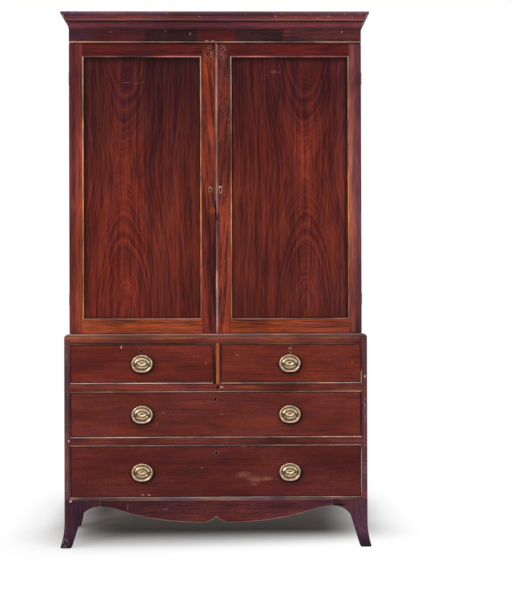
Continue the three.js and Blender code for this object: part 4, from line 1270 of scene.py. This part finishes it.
def foot(side, end):
    """A foot of two wings that meet at a corner of the case. The end is -1 in front and 1 behind."""
    end_y = FRONT_Y if end < 0 else BACK_Y
    along = (FOOT_TOE, FOOT_WAIST, FOOT_WING)
    cross = along if end < 0 else (REAR_TOE, REAR_WAIST, REAR_WING)
    rings = []
    for row, z in enumerate(foot_levels()):
        splay = flare_at(z) - toe_inset(z)
        out_x = side * (LOWER_HALF + splay)
        out_y = end_y + end * (splay if end < 0 else -toe_inset(z))
        reach = wing_reach(row, z, *cross)
        wing_x = side * (LOWER_HALF - reach)
        wing_y = end_y - end * wing_reach(row, z, *along)
        inner_x = side * (LOWER_HALF - min(FOOT_THICKNESS, reach - SEAT_GAP))
        inner_y = end_y - end * FOOT_THICKNESS
        rings.append([
            (out_x, out_y, z), (wing_x, out_y, z), (wing_x, inner_y, z),
            (inner_x, inner_y, z), (inner_x, wing_y, z), (out_x, wing_y, z),
        ])
    work = bmesh.new()
    add_rings(work, rings)
    name = f"foot_{'front' if end < 0 else 'rear'}_{SIDES[side]}"
    mesh_piece(f"{name}_veneered", from_bmesh(name, work), [FOOT_WOOD], "carcass", [name],
               FOOT_ROUNDING, 3)


def front_apron():
    half = APRON[1].x
    right = smooth_run([(out * half, up * ARCH_HEIGHT) for out, up in APRON_SHARES], APRON_STEPS)
    left = [(-x, z) for x, z in right[:-1]][::-1]
    outline = [(half, BASE_HEIGHT), *right, *left, (-half, BASE_HEIGHT)]
    work = bmesh.new()
    add_prism(work, outline, in_front, FRONT_Y, FRONT_Y + FOOT_THICKNESS)
    apron = mesh_piece("front_apron_veneered", from_bmesh("front_apron", work), APRON_WOODS, "carcass",
                       ["front_apron"], APRON_ROUNDING)
    apron.modifiers["rounded edges"].material = 1


# Mouldings

CORNICE_RUNS = [
    [(0.03, 1), (0.03, 0.9)],
    [(0.03, 0.9), (0.07, 0.89)],
    [(0.07, 0.89), (0.08, 0.84), (0.11, 0.74), (0.17, 0.65), (0.28, 0.585), (0.44, 0.55)],
    [(0.44, 0.55), (0.455, 0.525)],
    [(0.455, 0.525), (0.53, 0.49), (0.56, 0.44), (0.53, 0.385), (0.46, 0.355)],
    [(0.46, 0.355), (0.53, 0.345)],
    [(0.53, 0.345), (0.56, 0.27), (0.66, 0.2), (0.8, 0.16), (0.94, 0.135)],
    [(0.94, 0.135), (1, 0.12)],
    [(1, 0.12), (1, 0)],
]
WAIST_RUNS = [
    [(1, 0), (1, 0.28)],
    [(1, 0.28), (0.98, 0.42), (0.9, 0.58), (0.75, 0.74), (0.54, 0.87), (0.32, 0.95), (0.16, 1)],
]
MOULDING_PATH = [
    (-UPPER_HALF, BACK_Y), (-UPPER_HALF, DOOR_FACE_Y), (UPPER_HALF, DOOR_FACE_Y), (UPPER_HALF, BACK_Y),
]


def moulding(piece, node, bottom, section, woods, rounding):
    """Runs a section along one side of the case, its front and its other side, with mitred corners."""
    placed = [(out, bottom + up) for out, up in section]
    work = bmesh.new()
    add_rings(work, mitred_rings(MOULDING_PATH, placed, in_plan, False), materials=[1, 0, 1])
    mesh_piece(piece, from_bmesh(node, work), woods, "carcass", [node], rounding, 1)


def cornice():
    height = CORNICE[1].z - CORNICE[0].z
    shelf = height - CORNICE_SHELF + SEAT_GAP
    face = [(out * CORNICE_PROJECTION, (1 - down) * height) for out, down in profile(CORNICE_RUNS)]
    back = [(-CORNICE_SEAT, height), (-CORNICE_SEAT, shelf), (SEAT_GAP, shelf)]
    section = [(SEAT_GAP, 0), *face, *back]
    moulding("cornice_moulding", "cornice", CORNICE[0].z, section, CORNICE_WOODS, CORNICE_ROUNDING)


def waist():
    height = WAIST[1].z - WAIST[0].z
    face = [(out * (LOWER_HALF - UPPER_HALF), up * height) for out, up in profile(WAIST_RUNS)]
    section = [(SEAT_GAP, 0), *face, (SEAT_GAP, height)]
    moulding("waist_moulding_veneered", "waist_moulding", WAIST[0].z, section, WAIST_WOODS, WAIST_ROUNDING)


def frieze():
    """The board below the cornice with the half-round bead along its foot."""
    low, high = FRIEZE
    bead_top = low.z + FRIEZE_BEAD
    face_y = low.y + FRIEZE_BEAD_PROUD
    work = bmesh.new()
    add_box(work, (low.x, high.x), (face_y, high.y), (bead_top, high.z))
    middle = (low.z + bead_top) / 2
    outline = [(high.y, bead_top), (high.y, low.z)]
    steps = 12
    for i in range(steps + 1):
        angle = math.pi * i / steps
        out = FRIEZE_BEAD_PROUD * math.sin(angle)
        outline.append((face_y - out, middle - FRIEZE_BEAD / 2 * math.cos(angle)))
    add_prism(work, outline, from_the_side, low.x, high.x, material=1)
    mesh_piece("frieze_veneered", from_bmesh("frieze", work), [FRIEZE_WOOD, BEAD_ACROSS], "carcass",
               ["frieze"], FRONT_ROUNDING, 1)


# Doors


def hinge_cuts(side):
    """Room for the knuckles and the leaves, taken from the hinges in the frame."""
    for level in ("top", "bottom"):
        low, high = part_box(f"hinge_door_leaf_{SIDES[side]}_{level}")
        yield box_mesh(*((a - HINGE_PLAY, b + HINGE_PLAY) for a, b in zip(low, high)))


def door_frame(side):
    name = SIDES[side]
    span = [corner.x for corner in DOOR_FRAMES[side]]
    rise = (DOOR_BOTTOM, DOOR_TOP)
    opening = OPENINGS[side]
    depth = (DOOR_FACE_Y, DOOR_BACK_Y)
    lap = PANEL_LAP + SEAT_GAP

    def rebate():
        """The step behind the opening that the panel lies in."""
        return box_mesh(
            (opening[0] - lap, opening[1] + lap),
            (DOOR_FACE_Y + PANEL_RECESS - SEAT_GAP, DOOR_BACK_Y + PANEL_LAP),
            (OPENING_RISE[0] - lap, OPENING_RISE[1] + lap),
        )

    work = bmesh.new()
    for end, x in ((-1, (span[0], opening[0])), (1, (opening[1], span[1]))):
        is_hinge = end == side
        cuts = hinge_cuts(side) if is_hinge else [keyhole_cutter(f"{name}_door", DOOR_FACE_Y)]
        appended(work, carved("stile", x, depth, rise, [rebate(), *cuts]), 0 if is_hinge else 1)
    appended(work, carved("rail", opening, depth, (OPENING_RISE[1], rise[1]), [rebate()]), 2)
    appended(work, carved("rail", opening, depth, (rise[0], OPENING_RISE[0]), [rebate()]), 3)
    mesh_piece(f"{name}_door_frame_veneered", from_bmesh("frame", work), FRAME_WOODS[side], f"{name}_door",
               [f"{name}_door_frame"], DOOR_ROUNDING)

    section = half_round(PANEL_BEAD, PANEL_BEAD_PROUD, PANEL_RECESS - SEAT_GAP)
    ring = mitred_rings(rectangle(opening, OPENING_RISE), section, facing_front(DOOR_FACE_Y), True)
    work = bmesh.new()
    add_rings(work, ring, closed_path=True, materials=[1, 0, 1, 0])
    mesh_piece(f"{name}_door_panel_bead", from_bmesh("bead", work), [PANEL_BEAD_ACROSS, PANEL_BEAD_UP],
               f"{name}_door")


SPLIT_LOW = 1296 * MM
SPLIT_HIGH = 1364 * MM
SPLIT_WIDTH = 4.2 * MM
SPLIT_STEPS = 34


def split_width(z):
    """How much of the meeting bead's left edge is broken away at one height."""
    share = (z - SPLIT_LOW) / (SPLIT_HIGH - SPLIT_LOW)
    if not 0 < share < 1:
        return 0.0
    ragged = 0.82 + 0.18 * math.sin(share * 31) * math.cos(share * 13)
    return SPLIT_WIDTH * min(share * 9, (1 - share) * 3, 1.0) * ragged


def meeting_bead():
    """The bead between the doors, with its broken edge by the locks."""
    low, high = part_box("meeting_bead")
    section = half_round(high.x - low.x, DOOR_FACE_Y - low.y, DOOR_THICKNESS, steps=12)
    steps = 60
    levels = [low.z + (high.z - low.z) * i / steps for i in range(steps + 1)]
    levels = [z for z in levels if not SPLIT_LOW <= z <= SPLIT_HIGH]
    levels += [SPLIT_LOW + (SPLIT_HIGH - SPLIT_LOW) * i / SPLIT_STEPS for i in range(SPLIT_STEPS + 1)]
    work = bmesh.new()
    add_rings(work, [
        [(low.x + max(out, split_width(z)), DOOR_FACE_Y - up, z) for out, up in section]
        for z in sorted(levels)
    ])
    mesh_piece("meeting_bead_rounded", from_bmesh("meeting_bead", work), [MEETING_WOOD], "right_door",
               ["meeting_bead"], MEETING_ROUNDING)


# Drawers


def drawer_front(name):
    node = f"drawer_front_{name}"
    low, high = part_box(node)
    x, z = (low.x, high.x), (low.z, high.z)
    board_x = (x[0] + COCKBEAD, x[1] - COCKBEAD)
    board_z = (z[0] + COCKBEAD, z[1] - COCKBEAD)
    depth = (FRONT_Y, FRONT_Y + DRAWER_FRONT)
    work = bmesh.new()
    appended(work, carved("front", board_x, depth, board_z, [keyhole_cutter(name, FRONT_Y)]), 0)
    section = half_round(COCKBEAD, COCKBEAD_PROUD, DRAWER_FRONT)
    ring = mitred_rings(rectangle(x, z), section, facing_front(FRONT_Y), True)
    # The bottom bead takes the painted highlight copy, the top bead of a top drawer the painted shade copy
    add_rings(work, ring, closed_path=True, materials=[3, 2, 3, 1])
    woods = [DRAWER_WOODS[name], BEAD_HIGHLIGHT, BEAD_SHADE if name.startswith("top") else BEAD_ACROSS, BEAD_UP]
    mesh_piece(f"{node}_veneered", from_bmesh(node, work), woods, f"drawer_{name}", [node],
               FRONT_ROUNDING, 1)


# Handles

PLATE_RUNS = [
    [(0.0, 0.2), (0.08, 0.24), (0.17, 0.5), (0.27, 0.84), (0.35, 0.92), (0.43, 0.72), (0.48, 0.26)],
    [(0.48, 0.26), (0.54, 0.24)],
    [(0.54, 0.24), (0.57, 0.72), (0.6, 0.84), (0.65, 0.64), (0.71, 0.24)],
    [(0.71, 0.24), (0.79, 0.12)],
    [(0.79, 0.12), (0.82, 0.36), (0.89, 0.54), (0.95, 0.46), (1.0, 0.14)],
    [(1.0, 0.14), (1.0, 0.0)],
]
BOSS_HALF = 0.53
BOSS_FLATNESS = 0.6
DOME_HALF = 0.72
POST_RUNS = [
    [(0.0, 1.0), (0.4, 0.99), (0.75, 0.93), (0.98, 0.82), (1.0, 0.7), (0.94, 0.58), (0.74, 0.44)],
    [(0.74, 0.44), (0.7, 0.36)],
    [(0.7, 0.36), (0.95, 0.33), (1.12, 0.27), (1.12, 0.2)],
    [(1.12, 0.2), (0.9, 0.14), (0.9, 0.05)],
]
TURNING_STEPS = 4
PLATE_SIDES = 72
POST_SIDES = 24
LEAST_RING = 0.004


def eye_shape(out):
    """The plate's boss is a flat oval inside a rounder ring."""
    if out <= BOSS_HALF:
        return out * BOSS_FLATNESS
    low = BOSS_HALF * BOSS_FLATNESS
    if out < DOME_HALF:
        return low + (DOME_HALF - low) * (out - BOSS_HALF) / (DOME_HALF - BOSS_HALF)
    return out


def round_shape(out):
    return out


def add_turned(work, centre, runs, radius_x, radius_z, length, sides, height_share):
    """A turned shape whose axis points to the viewer. A height share gives how far a ring reaches up
    for how far it reaches out."""
    x, y, z = centre
    turns = [2 * math.pi * i / sides for i in range(sides)]
    rings = []
    for out, up in profile(runs, TURNING_STEPS):
        out = max(out, LEAST_RING)
        wide, high = out * radius_x, height_share(out) * radius_z
        rings.append([
            (x + wide * math.cos(turn), y - up * length, z + high * math.sin(turn)) for turn in turns
        ])
    add_rings(work, rings)


def recess_values(mesh):
    """The values that tell the brass where it is dull from old wax and from painted shade, one for each
    point.
    """
    return mesh.attributes.new("brass_wax_and_shade", "FLOAT", "POINT").data


def limited(value, highest=1.0):
    return min(max(value, 0.0), highest)


# Old wax on the brass: round the posts and in hollows, less in the lower half. Slopes that face down are
# darkened too: painted shade
POST_WAX = 0.95
POST_WAX_REACH = POST_RADIUS * 1.6
DOWN_SLOPE_SHADE = 0.32
DOWN_SLOPE_SHADE_GROWTH = 1.6
HOLLOW_BELOW = 0.5
HOLLOW_BLEND = 0.3
LOWER_BLEND = PLATE_HEIGHT * 0.15
LOWER_LOSS = 0.45


def plate_recess(mesh, x, z):
    """Marks how much old wax and painted shade each point of a plate holds."""
    for vertex, value in zip(mesh.vertices, recess_values(mesh)):
        height = (FRONT_Y - SEAT_GAP - vertex.co.y) / PLATE_DEPTH
        from_post = math.hypot(abs(vertex.co.x - x) - POST_SPREAD, vertex.co.z - z + POST_DROP)
        is_low = limited((z - vertex.co.z) / LOWER_BLEND)
        in_hollow = limited((HOLLOW_BELOW - height) / HOLLOW_BLEND) * (1 - LOWER_LOSS * is_low)
        # Painted shade: slopes that face down are darkened
        facing_down = limited(-vertex.normal.z * DOWN_SLOPE_SHADE_GROWTH, DOWN_SLOPE_SHADE)
        by_post = POST_WAX if from_post < POST_WAX_REACH else 0.0
        value.value = max(in_hollow, facing_down, by_post)


def handle_plate(row, side):
    x, z = side * HANDLE_X, HANDLE_LEVELS[row]
    y = FRONT_Y - SEAT_GAP
    work = bmesh.new()
    add_turned(work, (x, y, z), PLATE_RUNS, PLATE_WIDTH / 2, PLATE_HEIGHT / 2, PLATE_DEPTH, PLATE_SIDES,
               eye_shape)
    for post in (-1, 1):
        add_turned(work, (x + post * POST_SPREAD, y, z - POST_DROP), POST_RUNS, POST_RADIUS, POST_RADIUS,
                   POST_LENGTH, POST_SIDES, round_shape)
    end = SIDES[side]
    node = f"handle_plate_{row}_{end}"
    body = f"drawer_top_{end}" if row == "top" else f"drawer_{row}"
    mesh = from_bmesh(node, work)
    plate_recess(mesh, x, z)
    mesh_piece(f"{node}_stamped", mesh, [BRASS], body, [node])


def bail_tree():
    """A bail: a bar that tapers to its ends, bent to a squared half oval, with two pins."""
    tree, entry, finish = node_group("GeometryNodeTree", "swinging_bail", {
        "Geometry": None, "Half Width": BAIL_HALF, "Drop": BAIL_DROP, "Squareness": BAIL_SQUARENESS,
        "Bar Radius": BAIL_RADIUS, "End Radius": BAIL_END_RADIUS, "Pin Radius": PIN_RADIUS,
        "Pin Inner": PIN_INNER, "Steps": BAIL_STEPS, "Sides": BAIL_SIDES, "Finish": "",
    }, {"Geometry": None})
    half, bar_radius, end_radius = entry["Half Width"], entry["Bar Radius"], entry["End Radius"]
    line = tree.given("GeometryNodeCurvePrimitiveLine", {})
    spaced = tree.given("GeometryNodeResampleCurve", {"Curve": line, "Count": entry["Steps"]})
    angle = tree.given("GeometryNodeSplineParameter", {}, "Factor") * math.pi
    power = 2.0 / entry["Squareness"]
    cosine = tree.math("COSINE", angle)
    sine = tree.absolute(tree.math("SINE", angle))
    across = tree.math("SIGN", cosine) * tree.math("POWER", tree.absolute(cosine), power)
    down = tree.math("POWER", sine, power)
    bend = tree.join(across * half, 0.0, down * entry["Drop"] * -1.0)
    bent = tree.given("GeometryNodeSetPosition", {"Geometry": spaced, "Position": bend})
    swell = tree.math("POWER", sine, BAIL_SWELL)
    radius = tree.math("MULTIPLY_ADD", swell, bar_radius - end_radius, end_radius)
    thick = tree.given("GeometryNodeSetCurveRadius", {"Curve": bent, "Radius": radius})
    circle = tree.given("GeometryNodeCurvePrimitiveCircle", {"Resolution": entry["Sides"], "Radius": 1.0})
    bar = tree.given("GeometryNodeCurveToMesh", {
        "Curve": thick, "Profile Curve": circle, "Scale": radius, "Fill Caps": True,
    })
    joined = tree.node("GeometryNodeJoinGeometry", {0: bar})
    for side in (-1.0, 1.0):
        pin = tree.given("GeometryNodeMeshCylinder", {
            "Vertices": entry["Sides"], "Radius": entry["Pin Radius"], "Depth": half - entry["Pin Inner"],
        }, "Mesh")
        eye = tree.given("GeometryNodeMeshUVSphere", {"Radius": bar_radius * BAIL_EYE_SHARE}, "Mesh")
        middle = (half + entry["Pin Inner"]) * (0.5 * side)
        for shape, x, turn in ((pin, middle, math.radians(90)), (eye, half * side, 0.0)):
            placed = tree.given("GeometryNodeTransform", {
                "Geometry": shape, "Translation": tree.join(x, 0.0, 0.0), "Rotation": (0.0, turn, 0.0),
            })
            tree.put(placed, joined.inputs[0])
    real = tree.given("GeometryNodeRealizeInstances", {0: joined.outputs[0]})
    polished = tree.given("GeometryNodeSetMaterial", {"Geometry": real, "Material": entry["Finish"]})
    return finish(Geometry=polished)


def grown_mesh(tree, values):
    """Runs a geometry tree on an empty mesh and returns the plain mesh it makes."""
    holder = scene_object("holder", bpy.data.meshes.new("holder"))
    modifier = holder.modifiers.new("tree", "NODES")
    modifier.node_group = tree
    for item in tree.interface.items_tree:
        if item.in_out == "INPUT" and item.name in values:
            modifier[item.identifier] = values[item.name]
    result = plain_mesh(holder)
    bpy.data.objects.remove(holder)
    return result


BAIL = bail_tree()


def handle_bail(row, side):
    node = f"handle_bail_{row}_{SIDES[side]}"
    x, z = side * HANDLE_X, HANDLE_LEVELS[row] - POST_DROP
    mesh = grown_mesh(BAIL, {"Finish": BRASS_BAIL})
    mesh.transform(Matrix.Translation((x, FRONT_Y - SEAT_GAP - PIVOT_OUT, z)))
    for vertex, value in zip(mesh.vertices, recess_values(mesh)):
        is_end = abs(vertex.co.x - x) < POST_SPREAD + POST_RADIUS and vertex.co.z > z - 2 * BAIL_RADIUS
        value.value = POST_WAX if is_end else 0.0
    mesh_piece(f"{node}_cast", mesh, [BRASS_BAIL], f"bail_{row}_{SIDES[side]}", [node])


# Escutcheons

# Each one's body, width, height and depth in millimetres, finish, and how wide its raised lip is inside
ESCUTCHEONS = {
    "left_door": ("left_door", 15, 23, 0.9, BRASS_OLD, 0.68),
    "right_door": ("right_door", 16, 30, 0.9, BRASS_WORN, 0.66),
    "top_left": ("drawer_top_left", 13, 22, 0.6, BRASS_DARK, 0.8),
    "top_right": ("drawer_top_right", 13, 24, 0.8, BRASS_OLD, 0.75),
    "middle": ("drawer_middle", 14, 20, 0.5, BRASS_DARK, 0.8),
    "bottom": ("drawer_bottom", 16, 23, 0.6, BRASS_DARK, 0.8),
}
ESCUTCHEON_STEPS = 37
LIP_SLOPE_SHARE = 0.06
LIP_FLOOR_SHARE = 0.35


def escutcheon(name):
    """A thin oval plate round a keyhole, with the hole through it."""
    body, width, height, proud, finish, lip = ESCUTCHEONS[name]
    width, height, proud = width * MM, height * MM, proud * MM
    face_y = DOOR_FACE_Y if name.endswith("door") else FRONT_Y
    x, z, _, _, slot_length = (value * MM for value in KEYHOLES[name])
    centre_z = z - slot_length / 2
    outer = [(1.0, 0.0), (1.0, 0.4), (0.94, 0.9), (0.84, 1.0), (lip, 0.85)]
    inner = keyhole_outline(name, ESCUTCHEON_STEPS)
    angles = [math.atan2((b - centre_z) / height, (a - x) / width) for a, b in inner]
    rings = [[
        (x + share * width / 2 * math.cos(angle), face_y - up * proud,
         centre_z + share * height / 2 * math.sin(angle)) for angle in angles
    ] for share, up in (*outer, (lip - LIP_SLOPE_SHARE, LIP_FLOOR_SHARE))]
    rings += [[(a, face_y - up * proud, b) for a, b in inner] for up in (LIP_FLOOR_SHARE, 0.0)]
    work = bmesh.new()
    add_rings(work, rings, closed_path=True)
    mesh = from_bmesh("escutcheon", work)
    # The slope down into the keyhole is darkened: painted shade
    for i, value in enumerate(recess_values(mesh)):
        value.value = 1.0 if i >= len(outer) * len(inner) else 0.0
    mesh_piece(f"escutcheon_{name}", mesh, [finish], body)


# Pieces that keep the frame's own shape


def dressed(node, material, bevel=BOARD_ROUNDING, segments=2):
    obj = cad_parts[node]
    obj.data.materials.clear()
    obj.data.materials.append(material)
    weld = obj.modifiers.new("joined corners", "WELD")
    weld.merge_threshold = JOIN_REACH
    if bevel:
        flat = obj.modifiers.new("flat faces", "DECIMATE")
        flat.decimate_type = "DISSOLVE"
        flat.angle_limit = FLAT_UP_TO
        soften(obj, bevel, segments).harden_normals = False


BOARDS = {
    "lower_top_board": TOP_EDGE, "lower_bottom_board": BASE_LIP, "lower_back_board": PINE_PLANKS,
    "upper_back_board": PINE_PLANKS, "dust_board_upper": UPPER_RAIL, "dust_board_lower": LOWER_RAIL,
    "drawer_divider": DIVIDER, "upper_top_board": PINE_ACROSS, "upper_bottom_board": CASE_BOARD,
    **{f"tray_{i + 1}": PINE_ACROSS for i in range(4)},
    **{f"drawer_box_{name}": PINE_INWARD for name in DRAWER_WOODS},
}


def plain_pieces():
    for side, name in SIDES.items():
        dressed(f"lower_side_{name}", LOWER_SIDE_WOOD, LOWER_SIDE_ROUNDING, 3)
        dressed(f"upper_side_{name}", UPPER_SIDE_WOOD, UPPER_SIDE_ROUNDING)
        dressed(f"side_apron_{name}", SIDE_APRON)
        dressed(f"{name}_door_panel", PANEL_WOODS[side], DOOR_ROUNDING)
        for level in ("top", "bottom"):
            dressed(f"hinge_case_leaf_{name}_{level}", BRASS_OLD, 0.0)
            dressed(f"hinge_door_leaf_{name}_{level}", BRASS_OLD, 0.0)
    for node, material in BOARDS.items():
        dressed(node, material)


# Floor, light and camera

# Where the floor's painted shadow lies and where the shaded floor gives way to plain white, in metres, as
# the places where a shade starts and is full
FLOOR_REACH = 30.0
CONTACT_REACH = 0.5
UNDER_FRONT = (0.08, 0.3)
UNDER_BACK = (1.3, 0.9)
UNDER_SIDES = (0.78, 0.58)
CORNER_FRONT = (0.42, 0.74)
CORNER_SIDES = (0.44, 0.54)
SHADE_FRONT = 0.17
SHADE_MIDDLE = -0.03
SHADE_SIDES = (0.46, 0.92)
SHADE_BACK = (0.9, 1.6)
SHADE_LENGTH = 0.59
SHADE_SLANT = -0.3

FLOOR_PALE = (246, 246, 247)
FLOOR_CONTACT_SHADOW = (150, 143, 139)
FLOOR_DEEP_SHADOW = (119, 113, 109)
FLOOR_CORNER_SHADOW = (82, 78, 76)
WHITE_LIGHT = {"Color": (1.0, 1.0, 1.0, 1.0), "Strength": 1.0}
ROOM_LIGHT = {"Color": (0.96, 0.98, 1.0, 1.0), "Strength": 0.5}


def floor():
    """A pale floor that holds the shadow under the press, with more shadow painted into its colour, and
    turns to plain white round it.
    """
    work = bmesh.new()
    corners = [(a * FLOOR_REACH, b * FLOOR_REACH, 0.0) for a, b in ((-1, -1), (1, -1), (1, 1), (-1, 1))]
    work.faces.new([work.verts.new(corner) for corner in corners])
    obj = scene_object("floor", from_bmesh("floor", work, False))
    made, tree, shader = blank_material("studio_floor")
    tree.tree.nodes.remove(shader)
    # The floor's colour is painted darker near the press by ambient occlusion, and deep under and behind it
    # and at its back corners: painted shadow
    hollow = tree.node("ShaderNodeAmbientOcclusion", {"Distance": CONTACT_REACH}, samples=16)
    open_floor = tree.spread(hollow.outputs["AO"], 0.3, 0.95)
    paint = tree.blend(open_floor, shade(FLOOR_CONTACT_SHADOW), shade(FLOOR_PALE))
    place = place_of(tree)
    across, inward, _ = tree.split(place)
    out = reading(tree, place, "out")
    under = tree.spread(inward, *UNDER_BACK) * tree.spread(out, *UNDER_SIDES)
    deep = tree.spread(inward, *UNDER_FRONT) * under
    paint = tree.blend(deep, paint, shade(FLOOR_DEEP_SHADOW))
    corner = tree.spread(inward, *CORNER_FRONT) * tree.spread(out, *CORNER_SIDES)
    paint = tree.blend(corner * deep, paint, shade(FLOOR_CORNER_SHADOW))
    fade = tree.math("MULTIPLY_ADD", across, SHADE_SLANT, SHADE_LENGTH)
    ahead = tree.spread((SHADE_FRONT - inward) / fade, 0.0, 1.0, 1.0, 0.0)
    beside = tree.spread(tree.absolute(across - SHADE_MIDDLE), *SHADE_SIDES, 1.0, 0.0)
    behind = tree.spread(inward, *SHADE_BACK, 1.0, 0.0)
    mix = tree.given("ShaderNodeMixShader", {
        0: (1.0 - ahead * beside * behind) * tree.seen_directly(),
        1: tree.given("ShaderNodeBsdfDiffuse", {"Color": paint}),
        2: tree.given("ShaderNodeEmission", WHITE_LIGHT),
    })
    tree.put(mix, tree.tree.nodes["Material Output"].inputs["Surface"])
    obj.data.materials.append(made)


def surroundings():
    world = bpy.data.worlds.new("studio")
    bpy.context.scene.world = world
    world.use_nodes = True
    world.node_tree.nodes.clear()
    tree = Tree(world.node_tree)
    mix = tree.given("ShaderNodeMixShader", {
        0: tree.seen_directly(),
        1: tree.given("ShaderNodeBackground", ROOM_LIGHT),
        2: tree.given("ShaderNodeBackground", WHITE_LIGHT),
    })
    tree.node("ShaderNodeOutputWorld", {"Surface": mix})


# Each lamp's name, place, size, power and colour. All three point at the middle of the press.
LAMPS = (
    ("overhead", (-0.5, -1.6, 4.6), (3.4, 2.6), 75.0, (1.0, 0.99, 0.97)),
    ("key", (-3.2, -4.6, 2.9), (1.2, 1.2), 130.0, (1.0, 0.985, 0.96)),
    ("fill", (3.6, -4.2, 2.0), (2.4, 2.4), 50.0, (0.97, 0.98, 1.0)),
)
LAMP_TARGET = Vector((0.0, 0.0, 1.0))


def lamp(name, place, size, power, colour):
    data = bpy.data.lights.new(name, "AREA")
    data.shape = "RECTANGLE"
    data.size, data.size_y = size
    data.energy = power
    data.color = colour
    obj = scene_object(name, data)
    obj.location = place
    obj.rotation_euler = (LAMP_TARGET - Vector(place)).to_track_quat("-Z", "Y").to_euler()


EYE = (0.063, -5.7645, 0.972)
YAW = math.radians(0.99)
PITCH = math.radians(0.15)
ROLL = math.radians(-0.16)
FOCAL_PIXELS = 1401.6
PICTURE_HEIGHT = 591
FILM_HEIGHT = 36.0


def camera():
    data = bpy.data.cameras.new("camera")
    data.sensor_fit = "VERTICAL"
    data.sensor_height = FILM_HEIGHT
    data.lens = FOCAL_PIXELS * FILM_HEIGHT / PICTURE_HEIGHT
    data.clip_end = 100.0
    forward = Vector((math.sin(YAW) * math.cos(PITCH), math.cos(YAW) * math.cos(PITCH), math.sin(PITCH)))
    level = forward.cross(Vector((0, 0, 1))).normalized()
    upright = level.cross(forward)
    right = math.cos(ROLL) * level + math.sin(ROLL) * upright
    up = math.cos(ROLL) * upright - math.sin(ROLL) * level
    obj = scene_object("camera", data)
    obj.matrix_world = Matrix.Translation(EYE) @ Matrix((right, up, -forward)).transposed().to_4x4()
    bpy.context.scene.camera = obj


camera()
surroundings()
for lamp_row in LAMPS:
    lamp(*lamp_row)
floor()
bpy.context.scene.view_settings.view_transform = "Standard"

for case_side in SIDES:
    foot(case_side, -1)
    foot(case_side, 1)
    door_frame(case_side)
    for handle_row in HANDLE_LEVELS:
        handle_plate(handle_row, case_side)
        handle_bail(handle_row, case_side)
front_apron()
cornice()
frieze()
waist()
meeting_bead()
for drawer_name in DRAWER_WOODS:
    drawer_front(drawer_name)
for keyhole_name in ESCUTCHEONS:
    escutcheon(keyhole_name)
plain_pieces()
